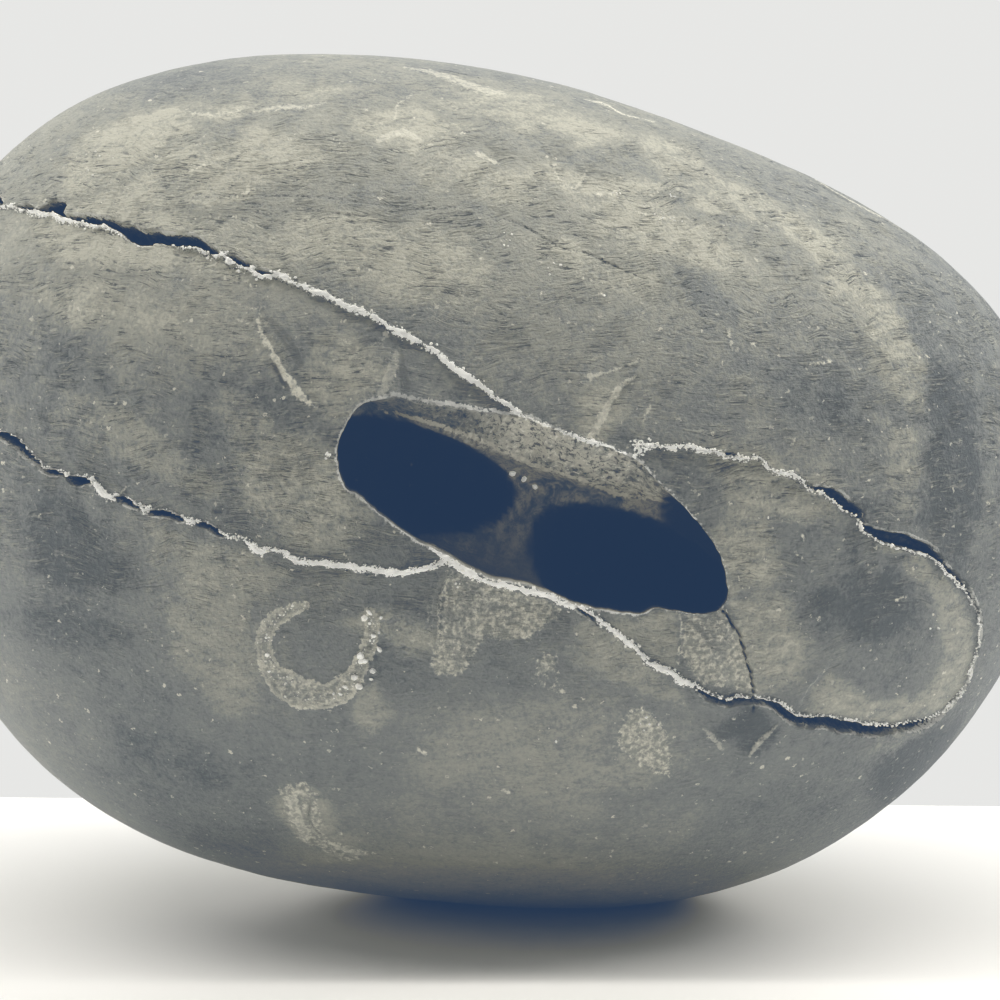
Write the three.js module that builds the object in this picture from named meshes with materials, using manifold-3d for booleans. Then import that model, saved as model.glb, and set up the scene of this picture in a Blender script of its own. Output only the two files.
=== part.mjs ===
// A shaligram stone: a river-worn nodule of black ammonite shale, lying on its side.
// One natural piece, so it is one solid. A band of fossil runs round the nodule, bounded by
// two seams. Where the band has broken open in front, a hollow shows: the mould of the
// ammonite's whorl, parted in two by one of its chamber walls. The seams stand open as cracks
// in some stretches and are filled with a raised thread of calcite in others.
//
// Units are millimetres and +Z is up. The origin is on the ground, under the middle of the
// stone. +X is the long way of the stone and the hollow faces -Y.
//
// Places on the surface are given as on a globe, seen from the stone's centre: longitude 0 is
// the middle of the front, positive to the right, and latitude is positive upwards.

import * as THREE from 'three';
import { mergeVertices } from 'three/addons/utils/BufferGeometryUtils.js';
import Module from 'manifold-3d';

const wasm = await Module();
wasm.setup();

// ---- driving dimensions -------------------------------------------------------------------

const HALF_LENGTH = 50.4;
const HALF_DEPTH = 32.0;
const HALF_HEIGHT = 36.5;
const LEAN = 10; // degrees by which the long axis falls to the right
const PROFILE_FULLNESS = 2.15; // 2 is an ellipse, more is squarer
const SECTION_FULLNESS = 2.1;
const RIGHT_FULLER = 0.06; // the right end is thicker, front to back, than the left end

const CENTRE_X = -1.87; // the stone's centre, from the middle of its length
const CENTRE_Y = 0.73; // from the middle of its depth
const CENTRE_HEIGHT = 36.1; // and above the worn face that it rests on

// Slow swells in the outline: how many round it, then the cosine and sine parts.
const SWELLS = [
  { count: 3, cosine: 0.028, sine: 0.004 },
  { count: 4, cosine: -0.009, sine: 0.009 },
  { count: 5, cosine: 0.011, sine: 0.006 },
  { count: 6, cosine: -0.001, sine: 0.004 },
];

// Worn flats (negative) and shoulders (positive) on the sides and back.
const LUMPS = [
  { at: [170, 12], height: -1.7, spread: 34 },
  { at: [-128, -18], height: 1.1, spread: 24 },
  { at: [128, 30], height: 0.9, spread: 22 },
  { at: [-150, 42], height: -0.9, spread: 20 },
  { at: [150, -40], height: -1.0, spread: 22 },
];

const BODY_DETAIL = 12; // each edge of the icosahedron is cut at 12 places

// The fossil's own disc lies tilted in the nodule.
const DISC_TILT = 20; // degrees, falling to the right

// The rim of the hollow, as [x, z] from the stone's centre, seen from the front.
const RIM = [
  [-9.7, 5.6], [-9.2, 7.6], [-7.8, 9.5], [-5.3, 10.3], [-2.6, 9.8], [0.4, 9.4], [3.4, 9.0],
  [6.4, 8.1], [9.6, 6.7], [12.6, 5.8], [15.0, 3.7], [17.0, 1.7], [18.9, -0.5], [20.2, -2.6],
  [20.6, -5.2], [19.6, -6.6], [17.0, -6.6], [14.6, -6.4], [11.6, -6.5], [8.2, -5.6],
  [4.8, -4.4], [1.4, -3.6], [-1.6, -2.0], [-4.6, -0.2], [-7.2, 1.7], [-9.1, 3.4],
];
const RIM_POINTS = 48;
const RIM_DEPTH = 31.4; // how far in front of the centre the rim lies
const LEDGE_DEPTH = 27.2; // and the ledge behind the broken lip
const RIM_THICKNESS = 2.2;
const LIP_DROP = 4.0; // the lip slopes down by this much to its ledge
const LIP_FROM = -6.6;
const LIP_TO = 16.9;

// The two chambers behind the mouth: along the disc, across it and into the stone.
const CHAMBERS = [
  { along: -3.8, across: 3.2, back: -27.6, half: [8.8, 5.6, 11.0], ribs: 8 },
  { along: 12.1, across: 2.1, back: -26.6, half: [10.0, 5.7, 12.0], ribs: 9 },
];
const RIB_DEPTH = 0.04; // share of a chamber's width
const CHAMBER_SIDES = 16;
const CHAMBER_STEPS = 28;

const CORD_SIDES = 5;
const CORD_STEP = 2.6;

// ---- the surface --------------------------------------------------------------------------

const radians = THREE.MathUtils.degToRad;

function direction([longitude, latitude]) {
  const across = radians(longitude);
  const up = radians(latitude);
  return new THREE.Vector3(
    Math.sin(across) * Math.cos(up),
    -Math.cos(across) * Math.cos(up),
    Math.sin(up),
  );
}

// How far the surface lies from the stone's centre, along a unit vector.
function reach({ x, y, z }) {
  const lean = radians(LEAN);
  const along = x * Math.cos(lean) - z * Math.sin(lean);
  const upward = x * Math.sin(lean) + z * Math.cos(lean);
  const profile = Math.abs(along / HALF_LENGTH) ** PROFILE_FULLNESS
    + Math.abs(upward / HALF_HEIGHT) ** PROFILE_FULLNESS;
  const section = profile ** (SECTION_FULLNESS / PROFILE_FULLNESS)
    + Math.abs(y / HALF_DEPTH) ** SECTION_FULLNESS;
  const turn = Math.atan2(z, x);
  let swell = 0;
  for (const { count, cosine, sine } of SWELLS) {
    swell += cosine * Math.cos(count * turn) + sine * Math.sin(count * turn);
  }
  const edgeOn = (x * x + z * z) ** 1.5; // swells fade out towards the front and back
  let distance = section ** (-1 / SECTION_FULLNESS);
  distance *= 1 + edgeOn * swell + RIGHT_FULLER * x * y * y;
  for (const { at, height, spread } of LUMPS) {
    const centre = direction(at);
    const nearness = x * centre.x + y * centre.y + z * centre.z;
    distance += height * Math.exp((nearness - 1) / (1 - Math.cos(radians(spread))));
  }
  return distance;
}

// A point on the surface, or above it by lift.
function onSurface(place, lift = 0) {
  const ray = direction(place);
  return ray.multiplyScalar(reach(ray) + lift);
}

// ---- solids -------------------------------------------------------------------------------

function toSolid(geometry) {
  const bare = geometry.clone();
  bare.deleteAttribute('normal');
  bare.deleteAttribute('uv');
  const merged = mergeVertices(bare);
  return new wasm.Manifold(new wasm.Mesh({
    numProp: 3,
    vertProperties: Float32Array.from(merged.attributes.position.array),
    triVerts: Uint32Array.from(merged.index.array),
  }));
}

function toGeometry(solid) {
  const { vertProperties, triVerts } = solid.getMesh();
  const geometry = new THREE.BufferGeometry();
  geometry.setAttribute('position', new THREE.BufferAttribute(vertProperties, 3));
  geometry.setIndex(new THREE.BufferAttribute(triVerts, 1));
  geometry.computeVertexNormals();
  return geometry;
}

function movePoints(geometry, move) {
  const places = geometry.attributes.position;
  const point = new THREE.Vector3();
  for (let i = 0; i < places.count; i += 1) {
    point.fromBufferAttribute(places, i);
    move(point);
    places.setXYZ(i, point.x, point.y, point.z);
  }
  return geometry;
}

// The pebble itself: a finely divided ball, each point pushed out to the surface.
function pebble() {
  const ball = new THREE.IcosahedronGeometry(1, BODY_DETAIL);
  movePoints(ball, (point) => {
    point.normalize();
    point.multiplyScalar(reach(point));
  });
  return toSolid(ball);
}

// Everything under the worn face that the stone rests on.
function ground() {
  const size = 4 * HALF_LENGTH;
  const block = new THREE.BoxGeometry(size, size, size);
  block.translate(0, 0, -CENTRE_HEIGHT - size / 2);
  return toSolid(block);
}

// ---- the hollow ---------------------------------------------------------------------------

// The mouth: the rim's outline carried straight in to the ledge, sloping in under the lip.
function mouth() {
  const corners = RIM.map(([x, z]) => new THREE.Vector2(x, z)).reverse();
  const outline = new THREE.SplineCurve([...corners, corners[0]]);
  const shape = new THREE.Shape(outline.getPoints(RIM_POINTS).slice(0, -1));
  const step = RIM_DEPTH - LEDGE_DEPTH;
  const block = new THREE.ExtrudeGeometry(shape, { depth: 2 * step, steps: 2, bevelEnabled: false });
  block.rotateX(Math.PI / 2);
  block.translate(0, -LEDGE_DEPTH, 0);
  const fall = -Math.tan(radians(DISC_TILT));
  movePoints(block, (point) => {
    const inner = Math.abs(point.y + LEDGE_DEPTH) < 0.01;
    const upper = point.z > 2.4 + fall * (point.x - 5.5);
    const share = (point.x - LIP_FROM) / (LIP_TO - LIP_FROM);
    if (inner && upper && share > 0 && share < 1) {
      point.z -= LIP_DROP * Math.sin(Math.PI * share) ** 0.6;
    }
  });
  return toSolid(block);
}

// The chambers widen behind the rim, which overhangs them by this much rock.
function behindRim() {
  const size = 2 * HALF_LENGTH;
  const block = new THREE.BoxGeometry(size, size, size);
  block.translate(0, size / 2 - RIM_DEPTH + RIM_THICKNESS, 0);
  return toSolid(block);
}

// A chamber of the whorl: a long rounded cavity with ribbed walls.
function chamber({ along, across, back, half, ribs }) {
  const hole = new THREE.SphereGeometry(1, CHAMBER_SIDES, CHAMBER_STEPS);
  hole.rotateZ(-Math.PI / 2); // its poles now lie along X
  movePoints(hole, (point) => {
    const rib = 1 + RIB_DEPTH * Math.cos(Math.PI * ribs * point.x);
    point.set(point.x * half[0], point.y * half[2] * rib, point.z * half[1] * rib);
  });
  hole.translate(along, back, across);
  hole.rotateY(radians(DISC_TILT));
  return toSolid(hole).intersect(behindRim());
}

// ---- seams, calcite and crystals ----------------------------------------------------------

// A cord along a line on the surface: cut away it is a crack, added it is a thread of calcite.
function cord(route, radius, lift, crumble = 0) {
  const path = new THREE.CatmullRomCurve3(route.map((place) => onSurface(place, lift)));
  const corners = [];
  for (let i = 0; i < CORD_SIDES; i += 1) {
    const turn = (2 * Math.PI * i) / CORD_SIDES;
    corners.push(new THREE.Vector2(radius * Math.cos(turn), radius * Math.sin(turn)));
  }
  const section = new THREE.Shape(corners);
  const strand = new THREE.ExtrudeGeometry(section, {
    extrudePath: path,
    steps: Math.max(2, Math.round(path.getLength() / CORD_STEP)),
  });
  movePoints(strand, (point) => {
    const swell = Math.sin(7.1 * point.x + 3.3 * point.z) * Math.cos(5.3 * point.y - 4.7 * point.z);
    point.multiplyScalar(1 + (crumble * swell) / point.length());
  });
  return toSolid(strand);
}

// A crystal half sunk in the surface.
function crystal(place, radius) {
  const grain = new THREE.IcosahedronGeometry(radius, 0);
  grain.rotateX(place[0]);
  grain.rotateY(place[1]);
  const seat = onSurface(place, 0.1 * radius);
  grain.translate(seat.x, seat.y, seat.z);
  return toSolid(grain);
}

// Open cracks: each with its half width and how deep its middle lies.
const CRACKS = [
  {
    radius: 0.52, // upper seam, standing open at its left end
    route: [[-68, 32], [-61.5, 33.5], [-56, 33.5], [-50.5, 33], [-45.5, 33.5], [-40, 34], [-36, 33]],
  },
  {
    radius: 0.3, // upper seam, on round the left end and over the back
    route: [
      [-73, 31.5], [-85, 32.5], [-100, 31.5], [-115, 31.5], [-130, 29], [-145, 27], [-160, 22.5],
      [-175, 18.5], [170, 13], [158, 10.5], [148, 5], [141, -1], [138, -8],
    ],
  },
  {
    radius: 0.3, // lower seam, back again under the first one
    route: [
      [138.5, -12], [143, -17.5], [155, -19.5], [168, -16], [-178, -12.5], [-165, -7.5],
      [-150, -3.5], [-135, 2], [-118, 4.5], [-100, 8], [-80, 10], [-62, 8.5], [-58, 7], [-55, 5],
      [-50, 4.5], [-48, 3], [-43, 1.5], [-39, 0.5], [-35.5, -0.5],
    ],
  },
  {
    radius: 0.42, // round the right-hand lobe, above it
    route: [
      [45, 4], [46.5, 3], [49, 1.5], [50.5, -1], [53, -2], [55, -2.5], [58, -3.5], [60, -5.5],
      [63.5, -7.5], [66, -10], [67.5, -11.5], [68.5, -13.5], [69.5, -16],
    ],
  },
  {
    radius: 0.45, // and below it
    route: [
      [69, -21], [68, -22.5], [65, -23.5], [61.5, -24], [56.5, -24], [49.5, -23.5], [46, -23.5],
      [42, -22], [38, -21.5], [36.5, -22],
    ],
  },
  {
    radius: 0.22, // a fracture running down from the right end of the hollow
    route: [[34.5, -11], [36, -13], [38, -16.5], [39.5, -19], [40, -20.5]],
  },
];
const CRACK_SINK = 0.12;

// Threads of calcite, standing a little proud of the stone.
const THREADS = [
  {
    radius: 0.4, // upper seam, down to the hollow
    route: [
      [-35, 32.5], [-30.5, 32.5], [-26.5, 32], [-20.5, 30.5], [-13, 28.5], [-6.5, 25.5],
      [-0.5, 21.5], [4.5, 18.5],
    ],
  },
  {
    radius: 0.4, // lower seam, up to the hollow
    route: [
      [-34, -1], [-32.5, -1.5], [-28, -3.5], [-24.5, -3.5], [-21, -5], [-16.5, -5.5], [-12, -6.2],
      [-7.5, -6.3], [-4, -5.6],
    ],
  },
  {
    radius: 0.34, // along the hollow's lower rim
    route: [[-4, -5], [-2.4, -4.4], [0.3, -6.1], [3, -7.3], [7, -8.1], [11, -9.1], [14.5, -10.4]],
  },
  {
    radius: 0.34, // from the hollow's upper right to the lobe
    route: [[24.5, 10.5], [30, 10], [32, 9], [34.5, 9], [36, 8], [38, 8], [39, 6.5], [41.5, 6], [44, 4.8]],
  },
  {
    radius: 0.3, // from the lower rim down to the lobe
    route: [[14, -10.3], [18.5, -12.5], [21.5, -14.5], [25.5, -17.5], [28, -18.5], [30, -19.6]],
  },
];
const THREAD_SINK = 0.14;
const THREAD_CRUMBLE = 0.1;

// The broken ring of crystals on the lower left: an open "C" round its middle.
const RING = { middle: [-20.5, -17], across: 7.2, high: 6.6, from: 128, to: 410, crystals: 21 };
const RING_CRYSTAL = 0.62;

// Knots of calcite that bridge the open cracks.
const KNOTS = [
  [-53, 5], [-48.5, 3.6], [-42.8, 1.7], [-37, 0.2], [-60, 33.2], [-52, 32.6], [-37.5, 33.6],
  [59, -4.4], [61.5, -6.4], [-17.6, 14],
];
const KNOT_RADIUS = 0.7;

function ringCrystals() {
  const grains = [];
  for (let i = 0; i < RING.crystals; i += 1) {
    const turn = radians(RING.from + ((RING.to - RING.from) * i) / (RING.crystals - 1));
    const weave = 1 + 0.1 * Math.sin(5.3 * i);
    const place = [
      RING.middle[0] + RING.across * weave * Math.cos(turn),
      RING.middle[1] + RING.high * weave * Math.sin(turn),
    ];
    grains.push(crystal(place, RING_CRYSTAL * (1 + 0.25 * Math.sin(2.4 * i))));
  }
  return grains;
}

// ---- the stone ----------------------------------------------------------------------------

function stone() {
  let solid = pebble();
  const cuts = [mouth(), ...CHAMBERS.map(chamber)];
  for (const { radius, route } of CRACKS) {
    cuts.push(cord(route, radius, -CRACK_SINK));
  }
  for (const cut of cuts) {
    solid = solid.subtract(cut);
  }
  const raised = [...ringCrystals(), ...KNOTS.map((place) => crystal(place, KNOT_RADIUS))];
  for (const { radius, route } of THREADS) {
    raised.push(cord(route, radius, -THREAD_SINK, THREAD_CRUMBLE));
  }
  for (const piece of raised) {
    solid = solid.add(piece);
  }
  solid = solid.subtract(ground());
  return toGeometry(solid);
}

const darkShale = new THREE.MeshStandardMaterial({ color: 0x6f7473, roughness: 0.5, metalness: 0 });

const body = new THREE.Mesh(stone(), darkShale);
body.name = 'shaligram_stone';
body.position.set(CENTRE_X, CENTRE_Y, CENTRE_HEIGHT);

const model = new THREE.Group();
model.add(body);

export default model;
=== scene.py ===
# %% [markdown]
# # A shaligram stone
# A shaligram is a river-worn nodule of dark shale with a fossil ammonite inside. This one lies on
# its side. A band of fossil runs round it between two seams, and in front the band has broken
# open into a dark hollow. The whole stone is one natural piece, so it is made here as one mesh:
# a pebble shaped by a formula, with the hollow cut out of it and its seams pressed into it.

import math

import bmesh
import bpy
import numpy as np
from mathutils import Matrix, Vector, kdtree, noise


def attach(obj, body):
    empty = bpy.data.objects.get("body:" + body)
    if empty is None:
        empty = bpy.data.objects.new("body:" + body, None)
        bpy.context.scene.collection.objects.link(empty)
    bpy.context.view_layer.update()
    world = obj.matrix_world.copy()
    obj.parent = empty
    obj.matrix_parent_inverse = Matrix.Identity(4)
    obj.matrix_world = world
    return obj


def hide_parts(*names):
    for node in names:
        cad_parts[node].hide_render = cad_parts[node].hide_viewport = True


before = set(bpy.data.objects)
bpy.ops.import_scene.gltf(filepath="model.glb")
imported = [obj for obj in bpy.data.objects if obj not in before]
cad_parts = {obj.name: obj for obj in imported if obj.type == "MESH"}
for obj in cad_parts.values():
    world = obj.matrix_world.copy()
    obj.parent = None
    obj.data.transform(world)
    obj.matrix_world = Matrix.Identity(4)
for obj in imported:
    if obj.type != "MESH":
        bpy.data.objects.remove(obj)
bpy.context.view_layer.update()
print("frame nodes:", sorted(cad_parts))

# %% [markdown]
# The camera comes first, so that every later step can be looked at. A long lens close to level
# shows the stone as a person sees it on a table: little distortion, and the hollow facing us.

# %% Camera
MM = 0.001
CENTRE = Vector((-1.87, 0.73, 36.1)) * MM  # the stone's own centre, from which it is shaped
LENS_MM = 105
SENSOR_MM = 36
VIEW_DISTANCE = 256.5 * MM
VIEW_ELEVATION = math.radians(6)
SHIFT_RIGHT, SHIFT_UP = 0.037, -0.0143  # frames the stone a little left of the middle

camera_data = bpy.data.cameras.new("camera")
camera_data.lens = LENS_MM
camera_data.sensor_width = SENSOR_MM
camera_data.shift_x = SHIFT_RIGHT
camera_data.shift_y = SHIFT_UP
camera_data.clip_start = 0.01
camera = bpy.data.objects.new("camera", camera_data)
toward_stone = Vector((0, math.cos(VIEW_ELEVATION), -math.sin(VIEW_ELEVATION)))
camera.location = CENTRE - toward_stone * VIEW_DISTANCE
camera.rotation_euler = toward_stone.to_track_quat("-Z", "Y").to_euler()
bpy.context.scene.collection.objects.link(camera)
bpy.context.scene.camera = camera

# %% [markdown]
# ## The form of the pebble
# Years of rolling in a river leave a smooth lens with a fuller end. A formula holds that better
# than sculpting would: a rounded box-like egg, leaning a little, with slow swells in its outline
# and a few worn flats. Everything below works in millimetres from the stone's centre, and places
# on the surface are given as on a globe: longitude 0 faces the viewer, latitude is up.

# %% Surface formula
HALF_LENGTH, HALF_DEPTH, HALF_HEIGHT = 50.4, 32.0, 36.5
LEAN = math.radians(10)
PROFILE_FULLNESS, SECTION_FULLNESS = 2.15, 2.1
RIGHT_FULLER = 0.06
SWELLS = [(3, 0.028, 0.004), (4, -0.009, 0.009), (5, 0.011, 0.006), (6, -0.001, 0.004)]
LUMPS = [  # longitude, latitude, height, spread
    (170, 12, -1.7, 34), (-128, -18, 1.1, 24), (128, 30, 0.9, 22),
    (-150, 42, -0.9, 20), (150, -40, -1.0, 22),
]
REST_LEVEL = -CENTRE.z / MM  # the worn face underneath


def direction(longitude, latitude):
    across, up = np.radians(longitude), np.radians(latitude)
    return np.stack([np.sin(across) * np.cos(up), -np.cos(across) * np.cos(up), np.sin(up)], -1)


def reach(rays):
    """How far the surface lies from the centre along unit vectors, in millimetres."""
    x, y, z = rays[..., 0], rays[..., 1], rays[..., 2]
    along = x * math.cos(LEAN) - z * math.sin(LEAN)
    upward = x * math.sin(LEAN) + z * math.cos(LEAN)
    profile = np.abs(along / HALF_LENGTH) ** PROFILE_FULLNESS
    profile = profile + np.abs(upward / HALF_HEIGHT) ** PROFILE_FULLNESS
    section = profile ** (SECTION_FULLNESS / PROFILE_FULLNESS)
    section = section + np.abs(y / HALF_DEPTH) ** SECTION_FULLNESS
    turn = np.arctan2(z, x)
    swell = sum(a * np.cos(n * turn) + b * np.sin(n * turn) for n, a, b in SWELLS)
    distance = section ** (-1 / SECTION_FULLNESS)
    distance = distance * (1 + (x * x + z * z) ** 1.5 * swell + RIGHT_FULLER * x * y * y)
    for longitude, latitude, height, spread in LUMPS:
        nearness = rays @ direction(longitude, latitude)
        distance = distance + height * np.exp((nearness - 1) / (1 - math.cos(math.radians(spread))))
    return distance


def unit(points):
    return points / np.linalg.norm(points, axis=-1, keepdims=True)


def on_surface(longitude, latitude):
    ray = direction(np.asarray(longitude, float), np.asarray(latitude, float))
    return ray * reach(ray)[..., None]


# %% [markdown]
# ## The seams
# The seams are where the fossil's band meets the rock round it. Each is a route of listed
# places, smoothed by a spline and given the small wander of a real crack. A stretch is either an
# open gap or filled with calcite, so each place also says how wide the gap and the thread are.

# %% Seam routes: longitude, latitude, width of the open gap, width of the calcite thread
UPPER_SEAM = [
    (-71.5, 31.2, 0, 0.35), (-68.5, 31.8, 0, 0.4), (-66.3, 32.3, 0.5, 0.4), (-64.2, 32.3, 0.1, 0.7),
    (-62.3, 33.0, 0.9, 0.4), (-61.0, 33.3, 1.0, 0.4), (-59.6, 32.7, 0.2, 0.6), (-57.3, 33.0, 0.5, 0.5),
    (-54.4, 33.3, 0.6, 0.5), (-52.4, 33.4, 0.6, 0.4), (-50.2, 33.2, 0.9, 0.2), (-47.5, 32.9, 1.2, 0.1),
    (-45.6, 33.4, 0.9, 0.1), (-43.4, 33.7, 0.9, 0.2), (-41.2, 34.1, 0.9, 0.3), (-39.4, 34.1, 0.6, 0.4),
    (-37.8, 33.6, 0.4, 0.5), (-36.6, 33.3, 0, 0.6), (-34.6, 33.0, 0.3, 0.5), (-33.1, 32.8, 0.4, 0.5),
    (-31.8, 32.6, 0, 0.6), (-30.4, 32.2, 0.35, 0.5), (-28.5, 32.3, 0, 0.6),
    (-26.3, 32, 0, 0.6), (-24, 31.3, 0, 0.5), (-20.5, 30.6, 0, 0.6), (-17.3, 29.4, 0, 0.55),
    (-14.5, 28.9, 0, 0.6), (-12, 27.8, 0, 0.6), (-9.2, 26.7, 0, 0.7), (-6.7, 25.4, 0, 0.6),
    (-4, 24, 0, 0.7), (-1.2, 22.3, 0, 0.75), (2, 20, 0, 0.6), (4.8, 17.9, 0, 0.45), (6.8, 16.6, 0, 0.5),
    (8.4, 15.3, 0, 0.4), (11.2, 14.0, 0, 0.5), (13.9, 12.8, 0, 0.35), (17.3, 11.5, 0, 0.45),
    (20.6, 10.1, 0, 0.6),
]
LOWER_SEAM = [
    (-62.2, 8.4, 0.5, 0.15), (-60, 7.8, 0.6, 0.15), (-58.3, 6.9, 0.6, 0.15), (-56.9, 5.9, 0.35, 0.2),
    (-56.2, 5.2, 0.2, 0.3), (-54.9, 5, 0.4, 0.15), (-53.4, 4.8, 0.1, 0.3), (-52.9, 4.4, 0.3, 0.2),
    (-51.6, 4.2, 0.6, 0.15), (-50.4, 4.3, 0.3, 0.4), (-49.4, 4, 0, 0.7), (-48.4, 3.2, 0, 0.7),
    (-47.2, 2.7, 0, 0.6), (-46.2, 2.7, 0.3, 0.15), (-44.9, 2.2, 0.4, 0.15), (-43.7, 1.6, 0.15, 0.3),
    (-42.9, 1.5, 0, 0.6), (-42.1, 1.3, 0.4, 0.15), (-40.8, 1.3, 0.45, 0.15), (-39.5, 0.8, 0.35, 0.15),
    (-38.5, 0.4, 0.3, 0.15), (-37.6, 0.3, 0, 0.4), (-36.7, 0.3, 0, 0.5), (-35.9, 0.1, 0.25, 0.15),
    (-34.6, -0.5, 0.35, 0.15), (-33.7, -1.1, 0.35, 0.15), (-32.7, -1.4, 0, 0.25), (-31.4, -1.4, 0, 0.25),
    (-30.2, -1.8, 0, 0.3), (-29.1, -2.6, 0, 0.6), (-28.1, -3.3, 0, 0.75), (-26.7, -3.1, 0, 0.3),
    (-24.7, -3.4, 0, 0.45), (-23.4, -4.6, 0, 0.75), (-22, -4.9, 0, 0.8), (-19.2, -4.9, 0, 0.7),
    (-17.6, -5.1, 0, 0.75), (-14, -5.6, 0, 0.75),
    (-11.9, -6, 0, 0.7), (-9.5, -6.1, 0, 0.7), (-7.3, -6, 0, 0.6), (-4.6, -5.4, 0, 0.55),
    (-2.7, -4.5, 0, 0.5),
]
RIM_THREAD = [
    (-2.6, -3.9, 0, 0.5), (0.3, -5.8, 0, 0.75), (2.9, -7.0, 0, 0.6), (5, -7.4, 0, 0.6),
    (7, -7.9, 0, 0.7), (9, -8.4, 0, 0.8), (11.2, -9, 0, 0.7), (13, -9.6, 0, 0.6), (14.8, -10.2, 0, 0.55),
]
TAIL_SEAM = [
    (14.8, -10.2, 0, 0.5), (16.5, -11.4, 0.2, 0.45), (18.6, -12.5, 0, 0.5), (20.3, -13.6, 0, 0.45),
    (21.4, -14.4, 0, 0.55), (23.5, -16, 0, 0.5), (25.7, -17.6, 0, 0.5), (26.8, -18.1, 0, 0.65),
    (28.1, -18.4, 0, 0.5), (29.8, -19.7, 0, 0.7), (31.2, -20, 0, 0.4), (33.5, -21.4, 0.3, 0.3),
    (35.3, -22, 0.35, 0.3),
]
LOBE_SEAM = [
    (23.2, 9.6, 0, 0.36), (24.2, 10.4, 0, 0.5), (26.5, 10.5, 0, 0.43), (28.2, 10.3, 0, 0.29),
    (29.9, 10, 0, 0.36), (31, 9.4, 0, 0.43), (33, 9, 0, 0.29), (34.3, 8.9, 0.1, 0.36),
    (35.9, 7.9, 0, 0.36), (37.8, 8.1, 0, 0.36), (39.1, 6.5, 0, 0.36), (41.7, 5.8, 0, 0.36),
    (43.7, 4.3, 0.1, 0.33), (45, 3.9, 0.3, 0.3), (46.5, 3.1, 0.7, 0.25), (48.8, 1.4, 0.75, 0.2),
    (49.5, 0, 0.4, 0.25), (50.3, -1, 0.5, 0.2), (52.8, -2, 0.8, 0.2), (55.1, -2.5, 0.9, 0.25),
    (57.8, -3.6, 0.6, 0.29), (60.2, -5.4, 0.3, 0.39), (62, -6.6, 0.3, 0.3), (63.3, -7.7, 0.35, 0.2),
    (66.1, -9.9, 0.25, 0.15), (67.6, -11.7, 0.15, 0.2), (68.7, -13.3, 0.1, 0.2), (69.3, -16, 0.1, 0.2),
    (70, -18.6, 0.15, 0.2), (69.4, -20.2, 0.3, 0.2), (67.9, -22.3, 0.6, 0.2), (65, -23.4, 0.9, 0.2),
    (61.6, -23.8, 0.7, 0.25), (58.5, -24.1, 0.9, 0.25), (56.7, -24.2, 1.0, 0.25), (53, -24, 1.0, 0.25),
    (49.7, -23.6, 0.9, 0.25), (45.8, -23.5, 0.7, 0.3), (42, -21.8, 0.4, 0.3), (38.2, -21.5, 0.4, 0.3),
    (36.6, -22.1, 0.4, 0.25), (35.3, -22, 0.35, 0.3),
]
BACK_SEAM = [
    (-71.5, 31.5, 0.5, 0.2), (-78, 32.4, 0.5, 0.2), (-85, 32.5, 0.3, 0.4), (-92, 31.8, 0.1, 0.5),
    (-100, 31.5, 0.2, 0.4), (-107, 32, 0.5, 0.2), (-115, 31.5, 0.6, 0.2), (-122, 30, 0.3, 0.3),
    (-130, 29, 0.2, 0.5), (-137, 28.5, 0, 0.5), (-145, 27, 0, 0.5), (-152, 24.4, 0.2, 0.4),
    (-160, 22.5, 0.3, 0.3), (-168, 21, 0.3, 0.3), (-175, 18.5, 0.1, 0.4), (-183, 16, 0, 0.5),
    (-190, 13, 0, 0.4), (-196, 12, 0.2, 0.3), (-202, 10.5, 0.3, 0.2), (-208, 7.5, 0.4, 0.2),
    (-212, 5, 0.5, 0.2), (-216.5, 2, 0.4, 0.2), (-219, -1, 0.3, 0.3), (-222, -8, 0.2, 0.3),
    (-221.5, -12, 0.4, 0.2), (-217, -17.5, 0.5, 0.2), (-211, -19, 0.3, 0.2), (-205, -19.5, 0.2, 0.3),
    (-198, -17.5, 0, 0.5), (-192, -16, 0, 0.5), (-185, -14.5, 0.1, 0.4), (-178, -12.5, 0.3, 0.3),
    (-171, -9.5, 0.2, 0.3), (-165, -7.5, 0, 0.5), (-157, -6, 0, 0.5), (-150, -3.5, 0.2, 0.3),
    (-142, -0.5, 0.4, 0.2), (-135, 2, 0.4, 0.2), (-126, 3, 0.2, 0.4), (-118, 4.5, 0, 0.5),
    (-109, 6.8, 0.2, 0.4), (-100, 8, 0.3, 0.3), (-90, 9.4, 0.3, 0.3), (-80, 10, 0.4, 0.2),
    (-70, 9.6, 0.35, 0.2), (-62.2, 8.3, 0.35, 0.2),
]
FRACTURE = [
    (33.9, -10.4, 0.1, 0), (35, -11.4, 0.12, 0), (36.1, -13, 0.11, 0), (37.6, -15.8, 0.12, 0),
    (38.6, -18, 0.11, 0), (39.4, -20.1, 0.09, 0), (39.8, -21.6, 0.07, 0),
]
# With each route: on which side of it the fossil's band lies. 1 is to the left as one walks it.
SEAMS = [
    (UPPER_SEAM, -1), (LOWER_SEAM, 1), (RIM_THREAD, 0), (TAIL_SEAM, 1), (LOBE_SEAM, -1),
    (BACK_SEAM, 1), (FRACTURE, 0),
]

# %% Turn the routes into closely spaced points on the surface
SEAM_SPACING = 0.16  # mm between points of a route
WANDER = 0.10  # mm that a crack strays to either side of its route


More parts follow.
